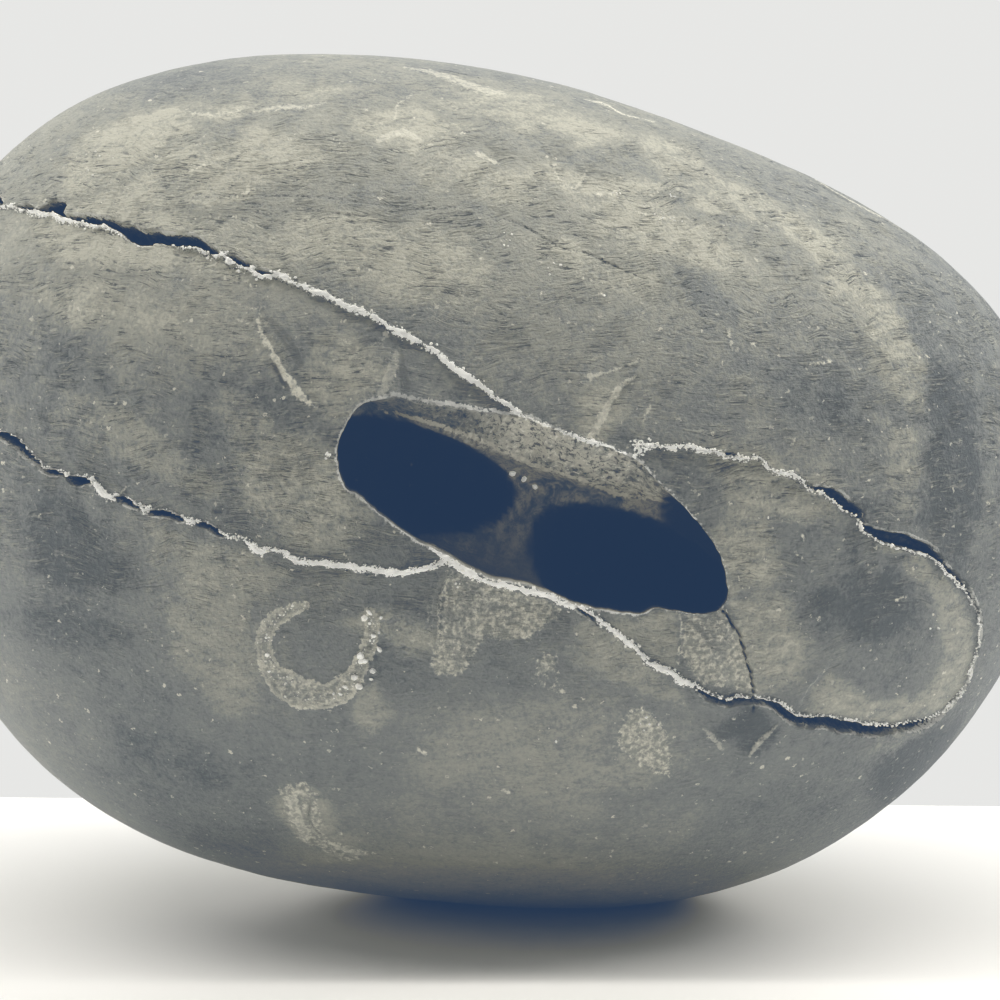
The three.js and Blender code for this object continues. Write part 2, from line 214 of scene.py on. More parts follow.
def spline(stops, count):
    """A smooth Catmull-Rom run of rows through the given rows."""
    rows = np.asarray(stops, float)
    rows = np.vstack([2 * rows[0] - rows[1], rows, 2 * rows[-1] - rows[-2]])
    place = np.linspace(0, len(stops) - 1, count)
    start = np.minimum(place.astype(int), len(stops) - 2)
    t = (place - start)[:, None]
    a, b, c, d = (rows[start + k] for k in range(4))
    straight = 2 * b + (c - a) * t
    return 0.5 * (straight + (2 * a - 5 * b + 4 * c - d) * t ** 2 + (3 * b - a - 3 * c + d) * t ** 3)


def lay_seam(stops, band, seed):
    length = np.linalg.norm(np.diff(on_surface(*np.array(stops)[:, :2].T), axis=0), axis=1).sum()
    rows = spline(stops, int(length / SEAM_SPACING))
    points = on_surface(rows[:, 0], rows[:, 1])
    along = unit(np.gradient(points, axis=0))
    side = unit(np.cross(unit(points), along))
    steps = np.arange(len(rows)) * SEAM_SPACING
    stray = np.zeros(len(rows))
    for wave, share in ((3.1, 1.0), (1.3, 0.7), (0.6, 0.4)):
        stray += share * np.array([noise.noise(Vector((s / wave, 7.3 * seed, wave))) for s in steps])
    fade = np.minimum(1, np.minimum(steps, steps[-1] - steps) / 1.5)
    points = unit(points + side * (stray * fade * WANDER * 2)[:, None])
    return {
        "points": points * reach(points)[:, None],
        "side": side,
        "band": np.full(len(rows), band),
        "gap": np.maximum(rows[:, 2], 0),
        "thread": np.maximum(rows[:, 3], 0),
        "steps": steps,
    }


seams = [lay_seam(stops, band, number + 1) for number, (stops, band) in enumerate(SEAMS)]
seam_points = np.vstack([s["points"] for s in seams])
seam_side = np.vstack([s["side"] for s in seams])
seam_band = np.concatenate([s["band"] for s in seams])
seam_gap = np.concatenate([s["gap"] for s in seams])
seam_thread = np.concatenate([s["thread"] for s in seams])
print("seam length, mm:", round(sum(s["steps"][-1] for s in seams)), "points:", len(seam_points))

# %% [markdown]
# ## The mouth of the hollow
# The hollow's rim is a closed outline, seen from the front. Later steps ask how far a point lies
# from that outline, so it is kept as a ring of close points, like a seam.

# %% Rim outline: x, z from the centre
RIM_STOPS = [
    (-9.7, 5.6), (-9.6, 6.6), (-9.2, 7.6), (-8.6, 8.7), (-7.8, 9.5), (-6.6, 10.0), (-5.3, 10.3),
    (-3.9, 10.0), (-2.6, 9.8), (-1.1, 9.6), (0.4, 9.4), (1.6, 9.1), (3.0, 9.0), (4.6, 8.7),
    (6.3, 8.1), (7.9, 7.4), (9.6, 6.7), (11.0, 6.4), (12.5, 5.8), (13.5, 5.3), (15.0, 3.7),
    (16.1, 2.6), (17.0, 1.7), (18.0, 0.6), (18.9, -0.5), (19.8, -1.9), (20.2, -3.0), (20.5, -4.2),
    (20.6, -5.5), (19.9, -6.5), (18.3, -6.8), (16.5, -6.5), (14.9, -6.3), (13.7, -6.7), (11.8, -6.5),
    (10.1, -6.2), (8.4, -5.7), (6.3, -4.8), (5.1, -4.4), (3.9, -4.1), (2.6, -3.9), (1.6, -3.6),
    (0.2, -2.9), (-1.5, -1.9), (-3.2, -1.1), (-4.6, -0.2), (-5.7, 0.6), (-6.9, 1.5), (-8.1, 2.6),
    (-9.0, 3.1), (-9.5, 4.3),
]
RIM_COUNT = 480
RIM_DEPTH = 31.4  # the rim lies this far in front of the centre
JAGGED = 0.09  # mm by which the broken edge is ragged


def closed_spline(stops, count):
    wrapped = stops[-2:] + stops + stops[:3]
    rows = spline(wrapped, (len(wrapped) - 1) * 40 + 1)[80:-80]
    length = np.concatenate([[0], np.cumsum(np.linalg.norm(np.diff(rows, axis=0), axis=1))])
    even = np.linspace(0, length[-1], count + 1)[:-1]
    return np.stack([np.interp(even, length, rows[:, k]) for k in range(2)], -1)


rim = closed_spline(RIM_STOPS, RIM_COUNT)
rim_out = unit(np.stack([np.gradient(rim[:, 1]), -np.gradient(rim[:, 0])], -1)) * -1
ragged = np.array([noise.noise(Vector((x * 1.1, 3, z * 1.1))) for x, z in rim])
ragged = ragged + 0.6 * np.array([noise.noise(Vector((x * 3.3, 9, z * 3.3))) for x, z in rim])
rim = rim + rim_out * (ragged * JAGGED)[:, None]
print("rim spans, mm:", np.round(np.ptp(rim, axis=0), 1))

# %% [markdown]
# ## Worn flakes and scratches
# A river stone is scarred all over. The marks that a person would notice are routes as well: each
# has a width at every stop, and says whether it stands up or is sunk, whether the stone steps
# down across it, and whether it is pale or dark. A dark mark is partly a dark scratch or pit and
# partly painted shadow beside a raised flake. The finer wear is left to noise further on.

# %% Marks seen from the front: stops of x, z and half width, then ridge, step, paleness, darkness
MARKS = [
    ([(-15.8, 17.0, 0.05), (-15.9, 15.4, 0.14), (-14.8, 13.5, 0.24), (-14.0, 11.8, 0.34),
      (-13.4, 11.2, 0.38), (-12.5, 10.1, 0.3), (-11.5, 9.3, 0.07)], 0.07, 0.07, 0.9, 0),
    ([(-14.7, 12.4, 0.1), (-14.2, 11.6, 0.22), (-13.8, 10.9, 0.1)], -0.04, 0, 0, 0.6),
    ([(-15.4, 16.0, 0.05), (-14.6, 15.5, 0.3), (-13.6, 14.3, 0.4), (-12.6, 12.6, 0.3)], -0.02, 0, 0, 0.35),
    ([(9.9, 7.0, 0.36), (10.6, 8.4, 0.33), (11.4, 9.8, 0.26), (12.1, 10.8, 0.2), (12.8, 11.3, 0.13),
      (13.4, 11.7, 0.06)], 0.06, -0.08, 0.8, 0),
    ([(9.8, 11.6, 0.26), (10.8, 11.9, 0.08), (12.3, 12.3, 0.07), (13.7, 12.9, 0.06)], 0.03, 0, 0.6, 0),
    ([(-6.3, 10.4, 0.4), (-5.5, 12.0, 0.4), (-5.1, 13.4, 0.3)], 0.03, 0, 0.3, 0),
    ([(-4.7, 13.5, 0.1), (-4.6, 12.0, 0.3), (-4.4, 10.8, 0.4)], -0.03, 0, 0, 0.3),
    ([(-1.4, -3.6, 0.3), (-2.0, -5.4, 0.45), (-2.1, -7.4, 0.4), (-2.2, -9.6, 0.3)], -0.02, 0.05, 0.12, 0.1),
    ([(-0.9, -3.4, 0.05), (-1.5, -4.9, 0.08), (-1.8, -6.4, 0.07), (-1.9, -8.9, 0.07)], 0.07, 0.06, 0.75, 0),
    ([(-2.7, -5.6, 0.05), (-2.6, -8.8, 0.06), (-2.3, -9.8, 0.08), (-2.6, -11.0, 0.05)], 0.04, 0, 0.5, 0),
    ([(16.6, -6.6, 0.08), (17.0, -7.4, 0.08), (16.9, -9.3, 0.06), (16.8, -10.8, 0.06)], 0.06, 0.05, 0.8, 0),
    ([(18.2, -7.6, 0.04), (18.9, -8.6, 0.05), (19.4, -9.6, 0.04), (20.6, -9.9, 0.04)], -0.06, 0, 0, 0.7),
    ([(19.0, -10.4, 0.05), (19.1, -12.0, 0.1), (18.6, -13.4, 0.08)], 0.04, 0, 0.5, 0.2),
    ([(29.0, -11.8, 0.05), (27.4, -13.6, 0.06), (26.6, -15.8, 0.05)], 0.03, 0.12, 0.3, 0),
    ([(27.2, 12.3, 0.1), (29.0, 12.5, 0.08)], 0.05, 0, 1.0, 0),
    ([(20.7, 15.2, 0.09), (21.1, 13.4, 0.06)], 0.04, 0, 0.8, 0),
    ([(25.3, 5.9, 0.06), (26.0, 6.7, 0.07)], 0.04, 0, 0.8, 0),
    ([(34.6, -6.6, 0.1), (35.4, -6.35, 0.07)], 0.05, 0, 1.0, 0),
    ([(26.6, -1.0, 0.12), (26.7, -1.2, 0.1)], 0.05, 0, 0.9, 0),
    ([(26.0, -2.2, 0.1), (26.1, -2.4, 0.08)], 0.05, 0, 0.8, 0),
    ([(19.0, -16.4, 0.1), (19.8, -17.2, 0.2), (20.6, -18.3, 0.14)], 0.05, 0, 0.4, 0),
    ([(22.9, -19.0, 0.1), (23.6, -17.8, 0.2), (24.9, -16.5, 0.08)], 0.08, 0.05, 0.45, 0),
    ([(-8.3, 21.4, 0.07), (-7.6, 20.5, 0.14), (-8.3, 19.7, 0.08)], 0.04, 0, 0.6, 0),
    ([(10.2, 33.4, 0.06), (12.0, 33.1, 0.14), (13.3, 32.3, 0.08), (16.1, 31.6, 0.07)], 0.04, 0.06, 0.9, 0),
    ([(30.2, 26.8, 0.08), (32.6, 25.2, 0.14), (37.6, 22.6, 0.08)], 0.04, 0.08, 0.8, 0),
    ([(30.6, 26.2, 0.06), (32.6, 24.9, 0.06)], -0.05, 0, 0, 0.7),
    ([(-13.2, -21.6, 0.2), (-13.7, -23.2, 0.4), (-13.4, -25.0, 0.5), (-12.6, -26.8, 0.25)],
     0.09, 0.07, 0.45, 0),
    ([(-12.3, -23.0, 0.08), (-12.5, -25.0, 0.1), (-11.6, -26.6, 0.06)], -0.08, 0, 0, 0.6),
    ([(-11.0, -27.2, 0.12), (-9.6, -28.0, 0.3), (-8.0, -28.4, 0.15)], 0.05, 0, 0.4, 0),
    ([(-27.3, 1.9, 0.05), (-26.4, 2.7, 0.06)], 0.05, 0, 0.9, 0),
    ([(-19.4, 1.0, 0.2), (-19.0, 1.0, 0.2)], -0.1, 0, 0, 0.6),
    ([(-21.8, 27.4, 0.07), (-20.6, 27.9, 0.09)], 0.04, 0, 0.9, 0),
    ([(-20.1, 27.9, 0.06), (-19.6, 28.3, 0.06)], 0.04, 0, 0.9, 0),
    ([(-18.6, 25.4, 0.08), (-17.2, 25.6, 0.2), (-17.0, 26.3, 0.08)], 0.04, 0, 0.9, 0),
    ([(13.6, 7.6, 0.06), (14.2, 8.9, 0.07), (14.4, 9.3, 0.12)], 0.03, 0, 0.6, 0),
    ([(3.1, -21.6, 0.12), (3.6, -21.8, 0.14)], 0.03, 0, 0.7, 0),
    ([(-3.6, -18.1, 0.14), (-3.0, -18.4, 0.16)], 0.03, 0, 0.8, 0),
    ([(3.3, 23.7, 0.04), (4.5, 23.3, 0.07), (6.4, 22.2, 0.05), (8.0, 21.4, 0.07), (9.6, 21.1, 0.05),
      (11.1, 20.4, 0.07), (12.7, 19.7, 0.04), (14.4, 19.0, 0.06), (17.8, 18.3, 0.03), (20.9, 17.1, 0.04)],
     -0.1, 0.03, 0, 0.9),
    ([(-23.7, 25.2, 0.03), (-17.6, 25.5, 0.05), (-11.3, 25.4, 0.06), (-5.7, 24.7, 0.05), (-2.4, 24.5, 0.06),
      (0.6, 24.8, 0.03)], -0.06, 0.03, 0, 0.75),
    ([(-14.4, 24.3, 0.03), (-11.2, 24.3, 0.04), (-8.9, 24.0, 0.05), (-6.5, 23.9, 0.03)], -0.05, 0, 0, 0.65),
    ([(-1.9, 35.9, 0.04), (-0.7, 35.7, 0.07), (1.4, 35.2, 0.04)], -0.06, 0.05, 0, 0.8),
    ([(-4.9, 36.1, 0.06), (-2.8, 35.7, 0.2), (-0.7, 35.0, 0.3), (1.0, 34.3, 0.3), (3.5, 33.8, 0.14)],
     0.03, 0, 0.5, 0),
    ([(25.8, 19.1, 0.03), (28.0, 19.3, 0.05), (30.2, 19.1, 0.03)], -0.05, 0, 0, 0.7),
    ([(26.5, 17.3, 0.03), (28.7, 17.1, 0.05), (30.8, 17.2, 0.03)], -0.05, 0, 0, 0.7),
    ([(32.5, 17.1, 0.03), (35.6, 17.1, 0.04)], -0.05, 0, 0, 0.7),
    ([(7.2, 27.9, 0.08), (7.4, 27.1, 0.14), (8.0, 26.3, 0.12), (8.7, 26.1, 0.12), (9.3, 26.4, 0.12),
      (9.9, 27.4, 0.06)], 0.03, 0, 0.6, 0),
    ([(10.5, 25.6, 0.08), (10.9, 25.6, 0.1)], 0.04, 0, 1.0, 0),
    ([(11.7, 25.6, 0.08), (12.3, 25.8, 0.1)], 0.04, 0, 1.0, 0),
    ([(15.0, 25.5, 0.08), (15.7, 25.8, 0.08)], 0.04, 0, 1.0, 0),
    ([(15.0, 23.7, 0.06), (16.0, 23.7, 0.08)], 0.04, 0, 1.0, 0),
    ([(13.8, 24.2, 0.06), (14.5, 24.0, 0.1)], 0.04, 0, 0.9, 0),
    ([(-22.3, 32.2, 0.1), (-20.1, 32.0, 0.16), (-18.1, 32.3, 0.1)], 0.02, 0, 0.5, 0),
    ([(-17.0, 32.2, 0.05), (-14.5, 32.6, 0.2), (-12.8, 32.6, 0.12), (-11.2, 33.0, 0.05)], 0.02, 0, 0.55, 0),
    ([(-6.8, 29.9, 0.2), (-5.7, 30.4, 0.3), (-4.4, 30.4, 0.3), (-3.4, 29.9, 0.1)], 0.02, 0, 0.5, 0),
    ([(-5.5, 31.6, 0.1), (-5.3, 32.8, 0.1), (-4.2, 33.7, 0.08)], 0.02, 0, 0.5, 0),
    ([(0.6, 29.1, 0.1), (1.8, 28.5, 0.2), (3.0, 27.9, 0.08)], 0.02, 0, 0.7, 0),
    ([(-18.6, 16.3, 0.03), (-17.0, 15.7, 0.05), (-15.6, 15.1, 0.03)], 0.03, 0, 0.55, 0),
    ([(-18.0, 17.3, 0.03), (-16.6, 16.8, 0.05), (-14.6, 17.0, 0.03)], 0.03, 0, 0.5, 0),
    ([(-23.4, 15.0, 0.03), (-22.0, 15.7, 0.04), (-20.8, 16.1, 0.03)], 0.03, 0, 0.5, 0),
    ([(-18.0, 13.0, 0.03), (-16.6, 13.6, 0.05), (-14.6, 13.5, 0.03)], 0.03, 0, 0.5, 0),
    ([(-18.8, 7.4, 0.03), (-17.3, 7.9, 0.04), (-16.4, 8.4, 0.03)], 0.03, 0, 0.4, 0),
    ([(-14.2, 5.5, 0.03), (-12.9, 6.3, 0.04), (-11.7, 6.9, 0.03)], 0.03, 0, 0.45, 0),
    ([(-9.6, 13.6, 0.03), (-7.4, 14.0, 0.06), (-5.6, 14.9, 0.03)], 0.04, 0, 0.4, 0),
    ([(-9.4, 14.6, 0.04), (-7.2, 15.1, 0.09), (-5.6, 15.9, 0.04)], -0.04, 0, 0, 0.5),
    ([(1.2, 19.3, 0.04), (1.1, 17.6, 0.05), (0.8, 15.6, 0.03)], 0.03, 0, 0.4, 0),
    ([(9.0, 12.6, 0.05), (10.9, 13.2, 0.05), (13.2, 14.2, 0.04)], 0.03, 0, 0.3, 0),
]
MARK_SPACING = 0.1
mark_rows = []
for stops, ridge, step, paleness, darkness in MARKS:
    length = sum(math.dist(a[:2], b[:2]) for a, b in zip(stops, stops[1:]))
    run = spline(stops, max(4, int(length / MARK_SPACING)))
    slope = unit(np.gradient(run[:, :2], axis=0))
    for (x, z, width), (along_x, along_z) in zip(run, slope):
        mark_rows.append((x, z, width, -along_z, along_x, ridge, step, paleness, darkness))
mark_rows = np.array(mark_rows)
mark_tree = kdtree.KDTree(len(mark_rows))
for number, row in enumerate(mark_rows):
    mark_tree.insert((row[0], 0, row[1]), number)
mark_tree.balance()
print("marks:", len(MARKS), "points along them:", len(mark_rows))

# %% [markdown]
# ## The pebble's mesh
# A ball of even triangles is a better start than a globe of longitude and latitude, because it
# has no pinched poles. It is divided again only where fine relief is coming: coarse at the back,
# medium in front, and very fine along the seams, the hollow's rim and the ring of crystals.
# After each round the new points are pushed out to the formula's surface.

# %% How long the mesh's edges should be at a place
BACK_EDGE, FRONT_EDGE = 1.6, 0.95  # mm
SEAM_EDGE, RIM_EDGE, RING_EDGE, MARK_EDGE = 0.16, 0.18, 0.24, 0.2
HIDDEN_SEAM_EDGE = 0.34
COARSER_PER_MM = 0.42  # how fast the edges grow away from fine relief
RING_MIDDLE = np.array([-11.2, -10.2])  # x, z of the broken ring of crystals
RING_RADIUS = 3.9

seam_tree = kdtree.KDTree(len(seam_points))
for number, point in enumerate(seam_points):
    seam_tree.insert(point, number)
seam_tree.balance()
rim_tree = kdtree.KDTree(len(rim))
for number, (x, z) in enumerate(rim):
    rim_tree.insert((x, 0, z), number)
rim_tree.balance()


def wanted_edge(point):
    edge = FRONT_EDGE if point.y < 2 else BACK_EDGE
    _, _, gap = seam_tree.find(point)
    finest = SEAM_EDGE if point.y < -8 else HIDDEN_SEAM_EDGE
    edge = min(edge, finest + COARSER_PER_MM * max(0, gap - 0.7))
    if point.y < -24:
        _, _, gap = rim_tree.find((point.x, 0, point.z))
        edge = min(edge, RIM_EDGE + COARSER_PER_MM * max(0, gap - 0.7))
        from_ring = abs(math.hypot(point.x - RING_MIDDLE[0], point.z - RING_MIDDLE[1]) - RING_RADIUS)
        edge = min(edge, RING_EDGE + COARSER_PER_MM * max(0, from_ring - 1.4))
    if point.y < 0:
        _, index, gap = mark_tree.find((point.x, 0, point.z))
        past_mark = gap - mark_rows[index][2] - 0.15
        edge = min(edge, MARK_EDGE + COARSER_PER_MM * max(0, past_mark))
    return edge


# %% Divide and project
START_DIVISIONS = 6
ROUNDS = 4


def push_out(verts):
    rays = unit(np.array([v.co[:] for v in verts]))
    for vert, place in zip(verts, rays * reach(rays)[:, None]):
        vert.co = place


def refine(bm):
    for _ in range(ROUNDS):
        large = []
        for face in bm.faces:
            longest = max(edge.calc_length() for edge in face.edges)
            if longest > 1.5 * wanted_edge(face.calc_center_median()):
                large.append(face)
        if not large:
            break
        edges = list({edge for face in large for edge in face.edges})
        known = len(bm.verts)
        bmesh.ops.subdivide_edges(bm, edges=edges, cuts=1)
        bmesh.ops.triangulate(bm, faces=[face for face in bm.faces if len(face.verts) > 3])
        bm.verts.ensure_lookup_table()
        push_out(bm.verts[known:])


pebble_bm = bmesh.new()
bmesh.ops.create_icosphere(pebble_bm, subdivisions=START_DIVISIONS, radius=1)
push_out(pebble_bm.verts)
refine(pebble_bm)
print("pebble triangles:", len(pebble_bm.faces))


def to_object(bm, name):
    mesh = bpy.data.meshes.new(name)
    bm.to_mesh(mesh)
    bm.free()
    made = bpy.data.objects.new(name, mesh)
    bpy.context.scene.collection.objects.link(made)
    return made


pebble = to_object(pebble_bm, "pebble")

# %% [markdown]
# ## The hollow
# The hollow is made by cutting, as nature did it: a plug in the shape of the mouth, and behind it
# two rounded chambers parted by a wall of the shell. The plug's upper side slopes in and down,
# which leaves the broken lip. Its inner end bulges inward, so that the wall between the chambers
# stands back in the dark. Shallow ribs run across everything, as on the mould of a real whorl.

# %% The plug that cuts the mouth
DISC_TILT = math.radians(20)  # the fossil's disc falls to the right
LEDGE_DEPTH = 27.2
LIP_DROP = 4.0
LIP_FROM, LIP_TO = -7.4, 17.2  # the lip fades out towards these ends
MOUTH_TOP, MOUTH_FOOT = 9.6, -1.0  # across the disc
BOWL_DEPTH, BOWL_SOFTNESS = 3.4, 1.5
WALL_RIB_SPACING, WALL_RIB_HEIGHT = 1.7, 0.12
SLICE = 0.35


def across_disc(x, z):
    return x * math.sin(DISC_TILT) + z * math.cos(DISC_TILT)


def along_disc(x, z):
    return x * math.cos(DISC_TILT) - z * math.sin(DISC_TILT)


def lip_share(x):
    share = min(1, max(0, (x - LIP_FROM) / (LIP_TO - LIP_FROM)))
    return max(0, math.sin(math.pi * share)) ** 0.6


def slice_mesh(bm, faces, axis, low, high, step):
    """Cuts faces into strips at even steps along an axis."""
    normal = Vector([float(k == axis) for k in range(3)])
    for place in np.arange(low + step, high, step):
        edges = list({edge for face in faces for edge in face.edges})
        verts = list({vert for face in faces for vert in face.verts})
        cut = bmesh.ops.bisect_plane(
            bm, geom=list(faces) + edges + verts, dist=1e-5, plane_co=normal * place, plane_no=normal)
        faces = [g for g in cut["geom"] if isinstance(g, bmesh.types.BMFace)]
    return faces


def mouth_plug():
    bm = bmesh.new()
    step = RIM_DEPTH - LEDGE_DEPTH
    ring = [bm.verts.new((x, -RIM_DEPTH - step, z)) for x, z in rim]
    outer = bm.faces.new(ring)
    inner = bmesh.ops.extrude_face_region(bm, geom=[outer], use_keep_orig=True)["geom"]
    moved = [g for g in inner if isinstance(g, bmesh.types.BMVert)]
    bmesh.ops.translate(bm, verts=moved, vec=(0, 2 * step, 0))
    cap = [g for g in inner if isinstance(g, bmesh.types.BMFace)]
    low_x, low_z = rim.min(0)
    high_x, high_z = rim.max(0)
    cap = slice_mesh(bm, cap, 0, low_x, high_x, SLICE * 1.3)
    cap = slice_mesh(bm, cap, 2, low_z, high_z, SLICE * 1.3)
    walls = [f for f in bm.faces if abs(f.normal.y) < 0.5]
    slice_mesh(bm, walls, 1, -RIM_DEPTH - 0.2, -LEDGE_DEPTH, SLICE)
    bmesh.ops.triangulate(bm, faces=bm.faces[:])
    for vert in bm.verts:
        x, y, z = vert.co
        inward = min(1, max(0, (y + RIM_DEPTH) / step))
        if inward <= 0:
            continue
        height = min(1, max(0, (across_disc(x, z) - MOUTH_FOOT) / (MOUTH_TOP - MOUTH_FOOT)))
        drop = LIP_DROP * lip_share(x) * height * inward
        vert.co.z = z - drop
        if inward > 0.999:
            _, _, gap = rim_tree.find((x, 0, z))
            bulge = BOWL_DEPTH * (1 - math.exp(-gap / BOWL_SOFTNESS))
            rib = WALL_RIB_HEIGHT * math.cos(2 * math.pi * along_disc(x, z) / WALL_RIB_SPACING)
            vert.co.y = y + bulge * (1 + rib)
    bmesh.ops.recalc_face_normals(bm, faces=bm.faces[:])
    return to_object(bm, "mouth_plug")


plug = mouth_plug()
print("plug triangles:", len(plug.data.polygons))

# %% The two chambers
CHAMBERS = [  # along the disc, across it, depth of the middle, half sizes, number of ribs
    (-4.7, 2.7, -27.6, (8.0, 4.6, 11.0), 7),
    (14.0, 1.4, -26.6, (8.2, 5.3, 12.0), 8),
]
CHAMBER_ROUND, CHAMBER_LONG = 84, 84
RIB_DEPTH = 0.03
FLATTER_TOP = 0.66
OVERHANG = RIM_DEPTH - 4.0  # the chambers begin behind this plane


def chamber(number, along, across, back, half, ribs):
    bm = bmesh.new()
    bmesh.ops.create_uvsphere(bm, u_segments=CHAMBER_ROUND, v_segments=CHAMBER_LONG, radius=1)
    bmesh.ops.rotate(bm, verts=bm.verts[:], cent=(0, 0, 0), matrix=Matrix.Rotation(math.pi / 2, 3, "Y"))
    for vert in bm.verts:
        x, y, z = vert.co
        rib = 1 + RIB_DEPTH * math.cos(math.pi * ribs * x)
        rough = 1 + 0.02 * noise.noise(Vector((3 * x, 3 * y, 3 * z + number)) * 2)
        height = z * half[1] * (FLATTER_TOP if z > 0 else 1)
        vert.co = (x * half[0], y * half[2] * rib * rough, height * rib * rough)
    bmesh.ops.translate(bm, verts=bm.verts[:], vec=(along, back, across))
    bmesh.ops.rotate(bm, verts=bm.verts[:], cent=(0, 0, 0), matrix=Matrix.Rotation(DISC_TILT, 3, "Y"))
    for vert in bm.verts:
        vert.co.y = max(vert.co.y, -OVERHANG)
    bmesh.ops.recalc_face_normals(bm, faces=bm.faces[:])
    return to_object(bm, "chamber_%d" % number)


chambers = [chamber(number, *values) for number, values in enumerate(CHAMBERS)]

# %% Cut them out of the pebble
for cutter in [plug, *chambers]:
    cut = pebble.modifiers.new(cutter.name, "BOOLEAN")
    cut.operation = "DIFFERENCE"
    cut.solver = "MANIFOLD"
    cut.object = cutter
bpy.context.view_layer.update()
cut_pebble = bpy.data.meshes.new_from_object(pebble.evaluated_get(bpy.context.evaluated_depsgraph_get()))
for leftover in [pebble, plug, *chambers]:
    bpy.data.objects.remove(leftover)
print("after the cut:", len(cut_pebble.vertices), "points,", len(cut_pebble.polygons), "faces")

# %% [markdown]
# ## Fine relief
# What the hand would feel is pressed into the mesh itself: open cracks with sharp, slightly raised
# lips, threads of crumbling calcite, a ragged rim, the broken face of the lip, and the faint waves
# of a worn surface. Each is a height above or below the pebble, worked out for every point from
# how far it lies from the nearest seam or rim, and then added along the surface's own direction.

# %% Where every point lies
points = np.empty(len(cut_pebble.vertices) * 3)
cut_pebble.vertices.foreach_get("co", points)
points = points.reshape(-1, 3)
rays = unit(points)
sunk = reach(rays) - np.linalg.norm(points, axis=1)  # how deep in the hollow
outside = sunk < 0.04
in_front = points[:, 1] < 0

found = [seam_tree.find(p) for p in points]
nearest = np.array([f[1] for f in found])
from_seam = np.array([f[2] for f in found])
across_seam = ((points - seam_points[nearest]) * seam_side[nearest]).sum(1)
gap_width, thread_width = seam_gap[nearest], seam_thread[nearest]
band_side = seam_band[nearest]

rim_found = [rim_tree.find((x, 0, z)) for x, _, z in points]
from_rim = np.array([f[2] for f in rim_found])
from_rim[~in_front] = 99


def outward(rays):
    """The surface's own direction: the slope of distance minus reach."""
    at = rays * reach(rays)[:, None]
    slope = []
    for axis in range(3):
        nudge = np.zeros(3)
        nudge[axis] = 0.05
        values = [np.linalg.norm(q, axis=1) - reach(unit(q)) for q in (at + nudge, at - nudge)]
        slope.append(values[0] - values[1])
    return unit(np.stack(slope, -1))


def grain_at(places, size, seed):
    """Smooth noise between about -1 and 1, with bumps of the given size in millimetres."""
    offset = np.array([seed * 17.3, seed * -9.1, seed * 4.7])
    return np.array([noise.noise(Vector(p)) for p in places / size + offset])


def fade_in(value, low, high):
    t = np.clip((value - low) / (high - low), 0, 1)
    return t * t * (3 - 2 * t)


normals = outward(rays)
print("points outside:", int(outside.sum()), "in the hollow:", int((~outside).sum()))

# %% Heights of the cracks, threads and worn waves
SEAM_REACH = 1.4  # mm from a seam within which it can be open or filled
CRACK_DEPTH = 1.5  # mm
LIP_HEIGHT = 0.07
THREAD_HEIGHT = 0.24
CRUMBLE = 0.17
STEP_HEIGHT = 0.1  # the band stands a little lower than the rock round it

coarse = grain_at(points, 6.0, 1)
medium = grain_at(points, 1.7, 2)
fine = grain_at(points, 0.55, 3)
finest = grain_at(points, 0.28, 4)

half_gap = gap_width / 2 * (1 + 0.35 * medium + 0.2 * fine)
half_thread = 0.33 * thread_width * (1 + 0.5 * medium + 0.45 * fine)
thread_middle = band_side * np.where(gap_width > 0.05, half_gap + half_thread, 0)
from_thread = np.abs(across_seam - thread_middle)

open_share = np.where(half_gap > 0.03, 1 - np.abs(across_seam) / np.maximum(half_gap, 0.03), -1)
open_share = np.where(from_seam < SEAM_REACH, open_share, -1)
crack = np.clip(open_share * 1.6 + 0.25, 0, 1) ** 0.7
crack[open_share <= -0.16] = 0
crack_lip = np.exp(-((np.abs(across_seam) - half_gap - 0.12) / 0.12) ** 2)
crack_lip = crack_lip * (gap_width > 0.05) * (from_seam < SEAM_REACH)
in_thread = np.where((thread_width > 0.1) & (from_seam < SEAM_REACH), half_thread - from_thread, -9)
thread = fade_in(in_thread, -0.06, 0.06) * (1 - crack)

height = 0.07 * coarse + 0.028 * medium
height -= STEP_HEIGHT * np.tanh(across_seam * band_side / 0.5) * np.exp(-from_seam / 3)
height += LIP_HEIGHT * crack_lip * (0.6 + 0.8 * fine)
height += thread * (THREAD_HEIGHT * np.clip(1 - (from_thread / (half_thread + 0.15)) ** 2, 0, 1) ** 0.5
                    + CRUMBLE * fine + 0.6 * CRUMBLE * finest)
height -= CRACK_DEPTH * crack * np.minimum(1, gap_width / 0.5) ** 0.5

rim_edge = np.exp(-(from_rim / 0.32) ** 2)
height += rim_edge * (0.05 + 0.12 * fine + 0.08 * finest)

# %% [markdown]
# The ring on the lower left is a broken piece of shell seen end on: an open C of pale crust.
# It is laid out in the front view, as a route with a width at each stop.

# %% The broken ring: x, z and half width
RING_STOPS = [
    (-12.3, -6.3, 0.4), (-13.4, -6.6, 0.5), (-14.6, -7.3, 0.6), (-15.4, -8.4, 0.65), (-15.6, -9.6, 0.7),
    (-15.4, -10.9, 0.8), (-14.9, -11.9, 0.95), (-13.9, -12.8, 1.15), (-12.6, -13.4, 1.2),
    (-11.0, -13.6, 1.15), (-9.7, -13.1, 1.05), (-8.6, -11.9, 0.85), (-7.9, -10.6, 0.65),
    (-7.3, -9.2, 0.6), (-7.1, -7.9, 0.6), (-7.3, -6.7, 0.5),
]
ring_rows = spline(RING_STOPS, 160)
ring_tree = kdtree.KDTree(len(ring_rows))
for number, (x, z, _) in enumerate(ring_rows):
    ring_tree.insert((x, 0, z), number)
ring_tree.balance()
ring_found = [ring_tree.find((x, 0, z)) for x, _, z in points]
ring_width = ring_rows[[f[1] for f in ring_found], 2] * (1 + 0.25 * medium + 0.15 * fine)
